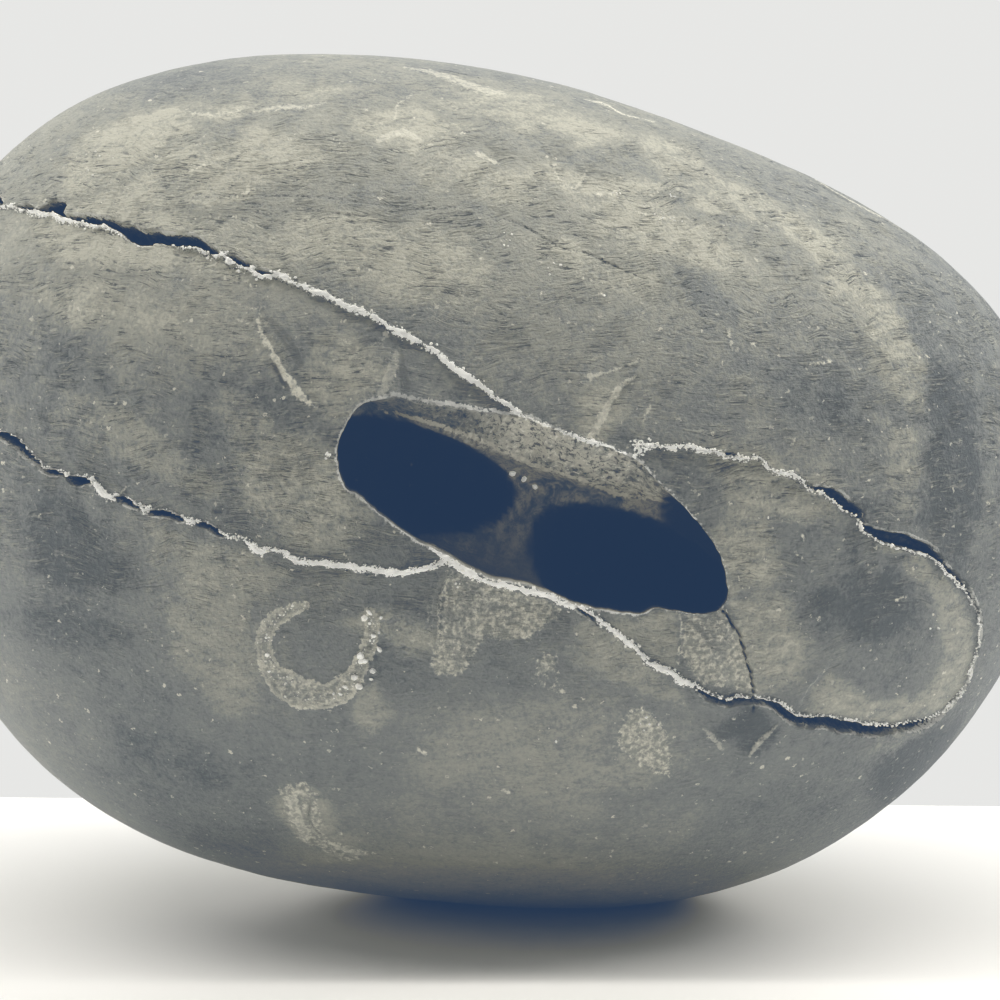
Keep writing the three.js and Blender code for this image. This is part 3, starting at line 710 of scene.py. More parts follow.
ring_share = np.array([f[2] for f in ring_found]) / ring_width
ring_share[~in_front | ~outside] = 9
ring_crust = fade_in(1.12 - ring_share, 0, 0.25)
ring_line = np.exp(-((ring_share - 0.95) / 0.16) ** 2)
height += ring_crust * (0.04 + 0.07 * fine + 0.05 * finest) + 0.05 * ring_line

# %% The marks' relief
mark_found = [mark_tree.find((x, 0, z)) for x, _, z in points]
mark_row = mark_rows[[f[1] for f in mark_found]]
from_mark = np.array([f[2] for f in mark_found])
from_mark[~in_front | ~outside] = 99
mark_width = mark_row[:, 2] * (1 + 0.3 * fine + 0.2 * finest)
marked = fade_in(1.25 - from_mark / mark_width, 0, 0.45)
across_mark = ((points[:, [0, 2]] - mark_row[:, :2]) * mark_row[:, 3:5]).sum(1)
height += mark_row[:, 5] * marked * (0.8 + 0.5 * fine)
height -= mark_row[:, 6] * np.tanh(across_mark / 0.15) * np.exp(-(from_mark / 0.8) ** 2)

# %% The broken face of the lip, and roughness in the hollow
LIP_RIB_SPACING, LIP_RIBS_END = 0.5, 2.0  # mm; the ribs fade out to the right
in_upper_half = across_disc(points[:, 0], points[:, 2]) > 2.2
lip_zone = (~outside) & (points[:, 1] < -LEDGE_DEPTH + 0.3) & in_upper_half
broken = 1 - 2 * np.abs(grain_at(points, 2.2, 5)) + 0.5 * grain_at(points, 0.7, 6)
along_lip = along_disc(points[:, 0], points[:, 2])
lip_ribs = np.cos(2 * math.pi * along_lip / LIP_RIB_SPACING + 1.5 * medium)
lip_ribs = lip_ribs * fade_in(LIP_RIBS_END - along_lip, 0, 2)
lip_fade = np.minimum(1, sunk / 0.8)

moved = points + normals * np.where(outside, height, 0)[:, None]
toward_mouth = np.array([0, -1, 0.2])
lip_relief = 0.42 * broken + 0.26 * finest + 0.16 * lip_ribs
moved += toward_mouth * np.where(lip_zone, lip_relief * lip_fade, 0)[:, None]
deep_zone = (~outside) & ~lip_zone
moved += toward_mouth * np.where(deep_zone, 0.3 * broken * np.minimum(1, sunk / 2), 0)[:, None]
moved[:, 2] = np.maximum(moved[:, 2], REST_LEVEL)
cut_pebble.vertices.foreach_set("co", (moved * MM + np.array(CENTRE)).ravel())

# %% [markdown]
# ## Masks for the finish
# The finish has to know where calcite, cracks and pale or dark patches lie. Each is kept on the
# mesh as a number for every point, which a material can read by name. Unlike a painted picture,
# such a mask follows the stone in any view.

# %% Patches: x, z, half sizes, turn in degrees, strength (front view)
PALE_PATCHES = [
    (-27.5, 29.6, 6.0, 2.2, 25, 1.0), (-24.5, 30.6, 3.0, 1.6, 10, 1.0), (-15.5, 33.2, 8.0, 1.2, 8, 0.5),
    (-19.0, 27.5, 9.0, 2.6, 10, 0.8), (-3.9, 30.8, 5.0, 1.5, -4, 0.6), (8.3, 26.9, 3.0, 1.4, -20, 0.7),
    (14.5, 26.2, 5.0, 0.8, -4, 0.7), (22.5, 25.0, 5.0, 1.2, -14, 0.7), (28.0, 22.0, 4.0, 1.3, -42, 0.8),
    (31.6, 17.8, 4.0, 1.6, -55, 0.8), (34.6, 13.0, 5.0, 2.4, -70, 0.85), (-12.6, -24.5, 2.2, 3.2, 10, 0.5),
    (-10.1, -28.1, 2.4, 1.6, 30, 0.4), (24.0, 3.0, 6.0, 2.6, -24, 0.65), (-20.0, 15.0, 8.0, 3.0, -22, 0.35),
    (0.0, 34.5, 12.0, 1.0, -10, 0.2), (10.5, 20.0, 6.0, 1.6, -25, 0.5), (16.0, 22.5, 8.0, 2.4, -20, 0.7),
    (-9.5, 11.5, 3.6, 4.0, 10, 0.75), (10.6, 8.8, 2.6, 2.0, 50, 0.7), (-13.0, 3.0, 6.0, 4.0, -30, 0.8),
    (-6.0, 20.5, 9.0, 3.0, -12, 0.75), (22.0, -1.5, 2.6, 3.6, 20, 0.9), (-28.0, 22.6, 8.0, 3.0, -8, 0.85),
    (24.0, -9.5, 3.4, 4.6, 15, 0.75), (-19.5, -10.0, 3.4, 6.0, 30, 0.5), (12.5, -10.5, 5.0, 2.0, -35, 0.6),
    (-30.0, 17.0, 4.0, 2.0, 0, 0.5), (-17.0, 8.0, 3.0, 2.0, -30, 0.6), (-5.0, -8.0, 4.0, 1.6, -15, 0.6),
    (36.0, -18.5, 3.0, 2.0, 30, 0.4), (1.0, 27.0, 6.0, 1.6, -10, 0.5), (7.0, -18.0, 11.0, 5.0, 0, 0.3),
    (0.0, -30.0, 14.0, 3.0, 0, 0.25), (6.0, 31.8, 9.0, 1.6, -15, 0.6),
    (18.5, 27.6, 7.0, 1.5, -30, 0.6), (-18.0, 21.0, 5.0, 3.0, -10, 0.45),
]
DARK_PATCHES = [
    (-20.5, 9.7, 7.0, 4.6, -15, 0.3), (32.0, -7.0, 4.6, 3.6, 0, 0.75), (39.5, 4.0, 2.6, 8.0, 4, 1.0),
    (22.6, -16.9, 2.3, 2.0, 0, 0.8), (-31.0, -2.5, 6.0, 3.4, -20, 1.0), (-32.5, -8.6, 6.0, 3.0, 0, 0.4),
    (-11.2, -9.4, 3.0, 2.4, 0, 0.2), (7.7, -19.5, 9.0, 4.0, -10, 0.1), (-5.0, -11.0, 3.0, 4.0, 10, 0.2),
    (-12.0, 12.5, 1.6, 2.4, -50, 0.45), (28.0, 10.0, 5.0, 2.6, -25, 0.6), (1.5, 8.8, 3.0, 2.0, -28, 0.8),
    (-24.5, 19.0, 3.0, 1.8, -10, 0.5), (-22.0, -24.0, 9.0, 6.0, -30, 0.6), (-30.5, 11.0, 3.5, 5.0, 0, 0.9),
    (38.0, -22.0, 5.0, 4.0, 50, 0.7), (-15.0, 33.0, 2.6, 1.6, 0, 0.8), (18.5, 18.0, 3.0, 2.0, -30, 0.6),
    (24.0, -27.0, 8.0, 5.0, 30, 0.35),
]

# Worn areas with a clear edge, as outlines of x, z. The first number is how pale the area is.
PALE_AREAS = [
    (0.45, [(9.4, -7.1), (11.4, -8.1), (13.8, -10.0), (15.8, -11.8), (18.2, -15.4), (16.6, -13.8),
            (13.0, -12.9), (10.7, -11.4), (8.7, -7.9)]),
    (0.55, [(11.1, -7.3), (14.8, -6.6), (16.5, -6.6), (17.0, -7.4), (17.0, -9.3), (16.6, -11.5),
            (14.6, -10.0), (12.0, -8.3)]),
    (0.7, [(19.3, -1.6), (21.1, -4.2), (22.6, -7.9), (24.7, -11.9), (24.3, -13.4), (22.4, -10.3),
           (20.5, -6.4), (20.3, -3.4)]),
    (0.6, [(33.0, -1.6), (36.5, -3.1), (39.9, -6.1), (42.0, -9.9), (42.4, -14.3), (40.7, -16.8),
           (35.4, -17.5), (27.9, -15.9), (26.9, -15.8), (28.1, -13.2), (29.1, -12.5), (33.7, -15.1),
           (37.8, -15.1), (39.3, -12.3), (38.4, -8.0), (35.5, -4.4)]),
    (0.5, [(33.7, 7.8), (35.8, 7.7), (36.6, 3.8), (35.7, 0.2), (33.6, 1.6)]),
    (0.5, [(-25.5, 0.1), (-22.4, -3.1), (-22.3, -5.4), (-19.5, -9.3), (-17.5, -9.2), (-16.2, -5.9),
           (-13.5, -3.6), (-17.0, -2.1), (-20.6, -1.3)]),
    (0.5, [(-9.3, -15.6), (-8.1, -13.0), (-6.8, -12.2), (-5.6, -15.1), (-7.4, -17.3)]),
    (0.4, [(-33.0, 7.5), (-27.0, 5.0), (-20.5, 2.0), (-17.5, 2.0), (-20.0, 4.0), (-26.0, 8.5),
           (-32.0, 11.0)]),
]
# Rough crusts, also as outlines, which have a torn edge and a coarser grain.
CRUSTS = [
    [(-0.8, -3.3), (0.9, -3.4), (2.7, -3.9), (4.2, -4.9), (6.3, -5.4), (7.5, -6.3), (6.9, -7.1),
     (4.7, -8.7), (3.4, -8.7), (1.9, -8.3), (0.5, -10.1), (0.3, -11.5), (-2.1, -11.6), (-2.5, -10.9),
     (-1.7, -8.9), (-1.7, -6.2)],
    [(5.6, -10.5), (6.0, -9.9), (6.9, -9.7), (7.6, -10.7), (7.1, -11.4), (6.4, -11.8), (5.8, -11.6)],
    [(6.4, -12.8), (7.0, -12.2), (7.7, -12.1), (8.4, -12.8), (7.2, -13.0)],
    [(12.9, -14.9), (13.9, -14.2), (15.5, -15.6), (16.3, -17.7), (16.6, -20.4), (14.0, -19.4),
     (12.2, -17.6), (12.4, -16.1)],
    [(17.6, -6.7), (20.3, -6.2), (21.9, -10.4), (23.2, -13.3), (18.6, -12.6), (16.9, -9.6)],
    [(-15.0, -22.0), (-12.6, -21.4), (-11.6, -24.0), (-11.4, -26.8), (-8.0, -28.2), (-9.5, -29.4),
     (-13.4, -27.0)],
]


def gap_to(stops):
    """How far each point lies from a line through some stops in the front view, in millimetres."""
    x, z = points[:, 0], points[:, 2]
    gap = np.full(len(points), 99.0)
    for (x0, z0), (x1, z1) in zip(stops, stops[1:]):
        share = ((x - x0) * (x1 - x0) + (z - z0) * (z1 - z0)) / ((x1 - x0) ** 2 + (z1 - z0) ** 2)
        share = np.clip(share, 0, 1)
        gap = np.minimum(gap, np.hypot(x - x0 - share * (x1 - x0), z - z0 - share * (z1 - z0)))
    return gap


def depth_in(outline):
    """How far inside an outline each point lies in the front view. Outside is below 0."""
    x, z = points[:, 0], points[:, 2]
    closed = outline + outline[:1]
    gap = gap_to(closed)
    inside = np.zeros(len(points), bool)
    for (x0, z0), (x1, z1) in zip(closed, closed[1:]):
        if z0 != z1:
            crosses = ((z0 > z) != (z1 > z)) & (x < (x1 - x0) * (z - z0) / (z1 - z0) + x0)
            inside ^= crosses
    return np.where(in_front & outside, np.where(inside, gap, -gap), -99)


def ramp(depth, half_span):
    """0.5 on an edge, rising inward and falling outward, so that a finish can draw the edge crisply."""
    return np.clip(0.5 + depth / (2 * half_span), 0, 1)


def patches(listed, seed):
    x = points[:, 0] + 1.3 * grain_at(points, 3.2, seed)
    z = points[:, 2] + 1.3 * grain_at(points, 3.2, seed + 1)
    mask = np.zeros(len(points))
    for middle_x, middle_z, half_x, half_z, turn, strength in listed:
        c, s = math.cos(math.radians(turn)), math.sin(math.radians(turn))
        u = ((x - middle_x) * c + (z - middle_z) * s) / half_x
        v = (-(x - middle_x) * s + (z - middle_z) * c) / half_z
        mask = np.maximum(mask, strength * fade_in(1.25 - np.hypot(u, v), 0, 0.7))
    return np.where(in_front, mask, 0)


# The inner end of the broken lip: a pale edge with darker rock below it.
LIP_END = [
    (-6.0, 8.6), (-3.3, 8.1), (0.5, 6.9), (3.0, 5.7), (5.2, 4.6), (9.1, 3.4), (12.2, 1.9), (15.7, 1.7),
]
LIP_STOPS_AT = (15.2, 16.2)  # past this x the chambers' painted shade reaches the rim


def painted_chamber_shade():
    """1 on the chambers' walls, which are painted nearly black as shade; 0 elsewhere."""
    u = along_disc(points[:, 0], points[:, 2])
    v = across_disc(points[:, 0], points[:, 2])
    inside = np.zeros(len(points))
    for along, across, back, half, _ in CHAMBERS:
        high = np.where(v > across, half[1] * FLATTER_TOP, half[1])
        size = ((u - along) / half[0]) ** 2 + ((v - across) / high) ** 2
        size = np.sqrt(size + ((points[:, 1] - back) / half[2]) ** 2)
        inside = np.maximum(inside, fade_in(1.11 - size, 0, 0.05))
    inside = inside * fade_in(sunk, 0.6, 2.2)
    past_lip = fade_in(points[:, 0] + 0.5 * fine, *LIP_STOPS_AT) * fade_in(sunk, 0.3, 0.9)
    inside = np.maximum(inside, past_lip)
    return np.where(outside, 0, inside)


pale = patches(PALE_PATCHES, 7)
dark = patches(DARK_PATCHES, 9)
for strength, outline in PALE_AREAS:
    pale = np.maximum(pale, strength * fade_in(depth_in(outline) + 0.5 * medium, -0.4, 0.5))
open_here = (gap_width > 0.03) & (from_seam < SEAM_REACH)
open_depth = np.where(open_here, half_gap - np.abs(across_seam), -9)
masks = {
    "calcite": ramp(np.where(crack > 0.3, -9, in_thread), 0.3) * outside,
    "crack": ramp(open_depth, 0.3) * outside,
    "crack edge": ramp(np.where(band_side != 0, open_depth, -9), 0.3) * outside,
    "rim": np.clip(1 - from_rim / 0.6, 0, 1) * outside * np.where(points[:, 0] > 14.5, 0.8, 1),
    "pale": np.clip(pale, 0, 1),
    "dark": dark,
    "crust": ramp(np.max([depth_in(outline) for outline in CRUSTS], axis=0), 0.8),
    "mark": ramp(np.where(from_mark < 50, mark_width - from_mark, -9), 0.25),
    "mark paleness": mark_row[:, 7],
    "mark darkness and shadow": mark_row[:, 8],
    "ring": ramp((1 - np.minimum(ring_share, 3)) * ring_width, 0.6) * outside,
    "lip": ramp(points[:, 2] - np.interp(points[:, 0], *zip(*LIP_END)), 0.5) * ~outside,
    "ledge": ramp(0.2 + 0.15 * fine - gap_to(LIP_END), 0.3) * ~outside,
    "hollow": np.where(outside, 0.0, 1.0),
    # where the chambers' walls are painted nearly black as shade
    "chamber": painted_chamber_shade(),
}
for name, values in masks.items():
    cut_pebble.attributes.new(name, "FLOAT", "POINT").data.foreach_set("value", values.astype(np.float32))
print("masks:", ", ".join(masks))

# %% [markdown]
# The cut leaves a few many-sided faces. They are split into triangles, and each face then takes
# its finish: worn shale outside, raw rock inside the hollow.

# %% Finish the mesh
stone_bm = bmesh.new()
stone_bm.from_mesh(cut_pebble)
bmesh.ops.triangulate(stone_bm, faces=[face for face in stone_bm.faces if len(face.verts) > 3])
bmesh.ops.dissolve_degenerate(stone_bm, dist=1e-7, edges=stone_bm.edges[:])
bmesh.ops.triangulate(stone_bm, faces=[face for face in stone_bm.faces if len(face.verts) > 3])
hollow_layer = stone_bm.verts.layers.float["hollow"]
for face in stone_bm.faces:
    face.smooth = True
    face.material_index = int(any(vert[hollow_layer] > 0 for vert in face.verts))
for edge in stone_bm.edges:
    edge.smooth = len({face.material_index for face in edge.link_faces}) == 1
stone = to_object(stone_bm, "river_stone")
print("stone triangles:", len(stone.data.polygons))

# %% [markdown]
# ## Calcite grains
# Up close a calcite thread is a string of small broken crystals, not a painted line. Each grain
# here is a small faceted ball, squashed and turned at random and half sunk in the stone. They sit
# along the threads, on the broken ring, and in a few loose clusters of pale specks.

# %% Where the grains sit
GRAINS_PER_MM = 9.0
HIDDEN_GRAINS_PER_MM = 4.0
RING_GRAINS = 130
RING_CRYSTALS = [  # x, z, radius
    (-7.2, -6.5, 0.25), (-7.7, -7.0, 0.3), (-7.0, -8.5, 0.2), (-6.6, -9.5, 0.25), (-8.0, -10.0, 0.32),
    (-7.6, -10.4, 0.26), (-7.9, -10.45, 0.24), (-8.4, -11.9, 0.36), (-8.2, -12.6, 0.26),
    (-15.4, -10.3, 0.22), (-15.3, -11.6, 0.16), (-13.1, -6.2, 0.14), (-9.2, -12.6, 0.16),
    (-9.6, -13.2, 0.15), (-6.3, -6.9, 0.14), (-6.4, -8.2, 0.12), (-6.9, -11.4, 0.2), (-7.2, -12.0, 0.15),
]
CLUSTERS = [  # x, z, spread, grains
    (12.4, 25.6, 0.4, 9), (16.7, 25.6, 0.3, 6), (15.6, 24.0, 0.5, 12), (17.0, 23.5, 0.35, 10),
    (23.3, 24.5, 0.2, 6),
    (6.9, -16.8, 0.5, 22), (38.1, -9.3, 0.5, 22), (14.6, -15.6, 0.9, 20), (-0.5, -4.4, 0.2, 8),
    (23.6, 0.6, 0.3, 5), (13.4, 6.5, 0.4, 46), (14.2, 6.4, 0.3, 22), (-10.5, 5.6, 0.2, 14),
    (3.4, 22.2, 0.5, 8), (7.0, 20.2, 0.5, 8), (11.0, 17.8, 0.5, 9), (-30.0, 28.5, 2.0, 14),
]
GLINTS = [(3.9, 3.6, 0.36), (4.7, 3.2, 0.3), (5.6, 2.5, 0.32)]  # x, z and radius, inside the hollow
draw = np.random.default_rng(7)


def front_point(x, z):
    """The surface point seen at x, z from the front."""
    near, far = 0.0, 40.0
    for _ in range(24):
        depth = (near + far) / 2
        place = np.array([x, -depth, z])
        inside = np.linalg.norm(place) < reach(unit(place))
        near, far = (depth, far) if inside else (near, depth)
    return np.array([x, -near, z])


grains = []  # place on the bare surface, radius, how far it stands out
for seam in seams:
    front = seam["points"][:, 1] < -6
    count = np.where(front, GRAINS_PER_MM, HIDDEN_GRAINS_PER_MM) * SEAM_SPACING * (seam["thread"] > 0.18)
    for number in np.flatnonzero(draw.random(len(count)) < count / 2):
        for _ in range(2):
            half_open = seam["gap"][number] / 2
            side = seam["band"][number] or 1
            middle = side * (half_open + seam["thread"][number] / 2 if seam["gap"][number] > 0.05 else 0)
            offset = middle + draw.normal(0, 0.28) * seam["thread"][number]
            if abs(offset) < half_open:
                continue
            place = seam["points"][number] + seam["side"][number] * offset
            grains.append((place, 0.04 + 0.12 * draw.random() ** 2, 0.03))
for _ in range(RING_GRAINS):
    x, z, width = ring_rows[draw.integers(len(ring_rows))]
    spot = np.array([x, z]) + draw.normal(0, 0.5, 2) * width
    grains.append((front_point(*spot), 0.04 + 0.09 * draw.random() ** 2, 0.03))
for x, z, radius in RING_CRYSTALS:
    grains.append((front_point(x, z), radius * 1.15, 0.12))
for x, z, spread, count in CLUSTERS:
    for _ in range(count):
        spot = np.array([x, z]) + draw.normal(0, 0.5, 2) * spread
        if math.dist(spot, rim[rim_tree.find((spot[0], 0, spot[1]))[1]]) < 0.1:
            continue
        grains.append((front_point(*spot), 0.04 + 0.1 * draw.random() ** 2, 0.02))

outer_grains = len(grains)
bpy.context.view_layer.update()
for x, z, radius in GLINTS:
    start = Vector((x, -60, z)) * MM + Vector(CENTRE)
    met = stone.ray_cast(start, Vector((0, 1, 0)), depsgraph=bpy.context.evaluated_depsgraph_get())
    grains.append(((np.array(met[1]) - np.array(CENTRE)) / MM, radius, 0.1))

# %% Shape each grain from one faceted ball
GRAIN_SEARCH = 0.6  # mm within which a grain finds the stone's true surface
stone_tree = kdtree.KDTree(len(moved))
for number, place in enumerate(moved):
    stone_tree.insert(place, number)
stone_tree.balance()

ball_bm = bmesh.new()
bmesh.ops.create_icosphere(ball_bm, subdivisions=1, radius=1)
ball = bpy.data.meshes.new("grain_ball")
ball_bm.to_mesh(ball)
ball_bm.free()

grains_bm = bmesh.new()
kept = 0
for number, (place, radius, out) in enumerate(grains):
    near, _, gap = stone_tree.find(place)
    sunk_away = gap > GRAIN_SEARCH or np.linalg.norm(near) < reach(unit(np.array(near))) - 0.25
    if number < outer_grains and sunk_away:
        continue
    known = len(grains_bm.verts)
    grains_bm.from_mesh(ball)
    grains_bm.verts.ensure_lookup_table()
    fresh = grains_bm.verts[known:]
    turn = Matrix.Rotation(6.3 * draw.random(), 3, Vector(draw.normal(size=3)).normalized())
    wide, deep = 0.7 + 0.6 * draw.random(), 0.7 + 0.6 * draw.random()
    squash = Matrix.Diagonal((wide, deep, 0.6 + 0.3 * draw.random()))
    up = Vector(near).normalized()
    level = near + up * radius * (out / 0.08 * 0.35)
    for vert, jitter in zip(fresh, draw.uniform(0.8, 1.2, len(fresh))):
        vert.co = (level + turn @ (squash @ (vert.co * radius * jitter))) * MM + CENTRE
    kept += 1
bpy.data.meshes.remove(ball)
calcite_grains = to_object(grains_bm, "calcite_grains")
print("grains:", kept, "triangles:", len(calcite_grains.data.polygons))

# %% [markdown]
# ## The finish of the shale
# Worn shale looks grey from afar, but close to it is layered: fine wavy lines of lighter and
# darker mineral lie nearly level, with cloudy patches under them and pale specks over them. Each
# of these effects is one node group, sized in millimetres, so that every finish can use them.

# %% A small helper that wires nodes together
class Wires:
    """Short calls that add nodes to a tree. Each takes numbers or sockets and gives back a socket."""

    def __init__(self, tree):
        self.tree = tree

    def plug(self, socket, value):
        if isinstance(value, bpy.types.NodeSocket):
            self.tree.links.new(value, socket)
        else:
            socket.default_value = value

    def node(self, kind, output, inputs, **settings):
        made = self.tree.nodes.new(kind)
        for name, value in settings.items():
            setattr(made, name, value)
        for name, value in inputs.items():
            self.plug(made.inputs[name], value)
        return made.outputs[output]

    def math(self, operation, first, second=0.0, clamp=False):
        return self.node("ShaderNodeMath", 0, {0: first, 1: second}, operation=operation, use_clamp=clamp)

    def add(self, first, second, clamp=False):
        return self.math("ADD", first, second, clamp)

    def less(self, first, second, clamp=False):
        return self.math("SUBTRACT", first, second, clamp)

    def times(self, first, second, clamp=False):
        return self.math("MULTIPLY", first, second, clamp)

    def noise(self, place, scale, detail=2.0, roughness=0.5, distortion=0.0):
        return self.node("ShaderNodeTexNoise", "Fac", {
            "Vector": place, "Scale": scale, "Detail": detail,
            "Roughness": roughness, "Distortion": distortion})

    def between(self, value, low, high):
        return self.node("ShaderNodeMapRange", "Result", {
            "Value": value, "From Min": low, "From Max": high}, interpolation_type="SMOOTHSTEP")

    def mix(self, share, first, second):
        return self.node("ShaderNodeMix", 2, {0: share, 6: first, 7: second}, data_type="RGBA")

    def mask(self, name):
        return self.node("ShaderNodeAttribute", "Fac", {}, attribute_name=name)

    def group(self, group, inputs):
        made = self.tree.nodes.new("ShaderNodeGroup")
        made.node_tree = group
        for name, value in inputs.items():
            self.plug(made.inputs[name], value)
        return made.outputs

    def millimetres(self):
        """Object coordinates, turned into millimetres from the stone's centre."""
        place = self.node("ShaderNodeTexCoord", "Object", {})
        shift = tuple(-c / MM for c in CENTRE)
        scale = (1 / MM,) * 3
        return self.node("ShaderNodeMapping", 0, {"Vector": place, "Location": shift, "Scale": scale})


def new_group(name, inputs, outputs):
    group = bpy.data.node_groups.new(name, "ShaderNodeTree")
    for label, kind, value in inputs:
        socket = group.interface.new_socket(label, in_out="INPUT", socket_type=kind)
        if value is not None:
            socket.default_value = value
    for label in outputs:
        group.interface.new_socket(label, in_out="OUTPUT", socket_type="NodeSocketFloat")
    return group, group.nodes.new("NodeGroupInput").outputs, group.nodes.new("NodeGroupOutput").inputs


def tone(red, green, blue):
    """A colour as a paint chart gives it, turned into the light values that a shader mixes."""
    return tuple((c / 255) ** 2.2 for c in (red, green, blue)) + (1,)


# %% [markdown]
# The layering is noise that is squeezed in height and stretched sideways, then bent by a slower
# noise so that its lines waver. Its highest values become light lines and its lowest dark ones,
# and a third noise lets whole areas go quiet, because the layers show only where the stone is
# freshly worn.

# %% Node group: layers
SWAY_SCALE = 0.09  # one slow wave in about 11 mm
SWAY_HEIGHT = 5.0  # mm
SWAY_START = tuple(c / SWAY_SCALE for c in (155.58092, 177.15463, 138.14003))  # away from the other noises
LAYER_STRETCH = (0.62, 0.62, 5.0)
layers, given, gives = new_group(
    "shale layers",
    [("Place", "NodeSocketVector", None), ("Fineness", "NodeSocketFloat", 1.0)],
    ["Light", "Dark", "Height"])
wires = Wires(layers)
sway_place = wires.node("ShaderNodeVectorMath", 0, {0: given["Place"], 1: SWAY_START}, operation="ADD")
sway = wires.less(wires.noise(sway_place, SWAY_SCALE), 0.5)
sway = wires.node("ShaderNodeCombineXYZ", 0, {"Z": wires.times(sway, SWAY_HEIGHT)})
bent = wires.node("ShaderNodeVectorMath", 0, {0: given["Place"], 1: sway}, operation="ADD")
stretched = wires.node("ShaderNodeMapping", 0, {"Vector": bent, "Scale": LAYER_STRETCH})
lines = wires.noise(stretched, given["Fineness"], 3.0, 0.68, 1.1)
patchy = wires.noise(given["Place"], 0.45, 3.0, 0.7)
active = wires.add(wires.times(wires.between(patchy, 0.42, 0.60), 0.85), 0.15)
layers.links.new(wires.times(wires.between(lines, 0.55, 0.63), active), gives["Light"])
layers.links.new(wires.times(wires.between(lines, 0.435, 0.385), active), gives["Dark"])
layers.links.new(wires.times(wires.less(lines, 0.5), active), gives["Height"])

# %% Node group: clouds, from large soft patches to fine mottling
clouds, given, gives = new_group(
    "shale clouds",
    [("Place", "NodeSocketVector", None), ("Size", "NodeSocketFloat", 1.0)],
    ["Large", "Middle", "Fine"])
wires = Wires(clouds)
CLOUDS = [  # name, scale, detail, roughness, distortion
    ("Large", 0.055, 3.0, 0.5, 0.4),
    ("Middle", 0.38, 4.0, 0.6, 0.8),
    ("Fine", 2.4, 4.0, 0.65, 0.0),
]
for name, scale, detail, roughness, distortion in CLOUDS:
    scale = wires.math("DIVIDE", scale, given["Size"])
    cloud = wires.noise(given["Place"], scale, detail, roughness, distortion)
    clouds.links.new(cloud, gives[name])

# %% Node group: specks, pale grains a fraction of a millimetre across
specks, given, gives = new_group(
    "pale specks",
    [("Place", "NodeSocketVector", None), ("Per mm", "NodeSocketFloat", 1.0),
     ("Share", "NodeSocketFloat", 0.2)],
    ["Mask"])
wires = Wires(specks)
torn = wires.node("ShaderNodeTexNoise", "Color", {"Vector": given["Place"], "Scale": 4.0, "Detail": 1.0})
torn = wires.node("ShaderNodeVectorMath", 0, {0: torn, 1: (0.5, 0.5, 0.5)}, operation="SUBTRACT")
torn = wires.node("ShaderNodeVectorMath", 0, {0: torn, 1: (0.7, 0.7, 0.5)}, operation="MULTIPLY")
torn = wires.node("ShaderNodeVectorMath", 0, {0: given["Place"], 1: torn}, operation="ADD")
cells = specks.nodes.new("ShaderNodeTexVoronoi")
wires.plug(cells.inputs["Vector"], torn)
wires.plug(cells.inputs["Scale"], given["Per mm"])
chance = specks.nodes.new("ShaderNodeSeparateColor")
wires.plug(chance.inputs["Color"], cells.outputs["Color"])
chosen = wires.math("LESS_THAN", chance.outputs["Red"], given["Share"])
size = wires.add(wires.times(chance.outputs["Green"], 0.26), 0.08)
spot = wires.times(wires.less(size, cells.outputs["Distance"]), 9.0, clamp=True)
specks.links.new(wires.times(wires.times(chosen, spot), chance.outputs["Blue"]), gives["Mask"])
print("finish groups:", layers.name, "|", clouds.name, "|", specks.name)

# %% [markdown]
# The outside mixes four tones of shale by the clouds, with painted light and shade over the whole
# stone, draws the layers and specks over them, and then reads the masks: pale and dark patches,
# marks, the ring, calcite, and the shade in cracks. The calcite glows a little: painted light.

# %% Worn shale
INK, SLATE = tone(102, 108, 113), tone(142, 146, 146)
ASH, SAND = tone(172, 173, 165), tone(206, 205, 192)
FLAKE = tone(244, 242, 230)
CALCITE_WHITE, PAINTED_CRACK_SHADE = tone(254, 254, 250), tone(16, 24, 38)
CREVICE_AND_SHADE = tone(58, 66, 75)
# how strongly calcite glows: painted light, as no lamp is there
PAINTED_CALCITE_GLOW = 0.13


def new_material(name):
    made = bpy.data.materials.new(name)
    made.use_nodes = True
    return made, made.node_tree.nodes["Principled BSDF"], Wires(made.node_tree)


def add_bump(wires, shader, height, distance, strength):
    bump = wires.tree.nodes.new("ShaderNodeBump")
    bump.inputs["Distance"].default_value = distance * MM
    bump.inputs["Strength"].default_value = strength
    wires.plug(bump.inputs["Height"], height)
    wires.plug(shader.inputs["Normal"], bump.outputs["Normal"])


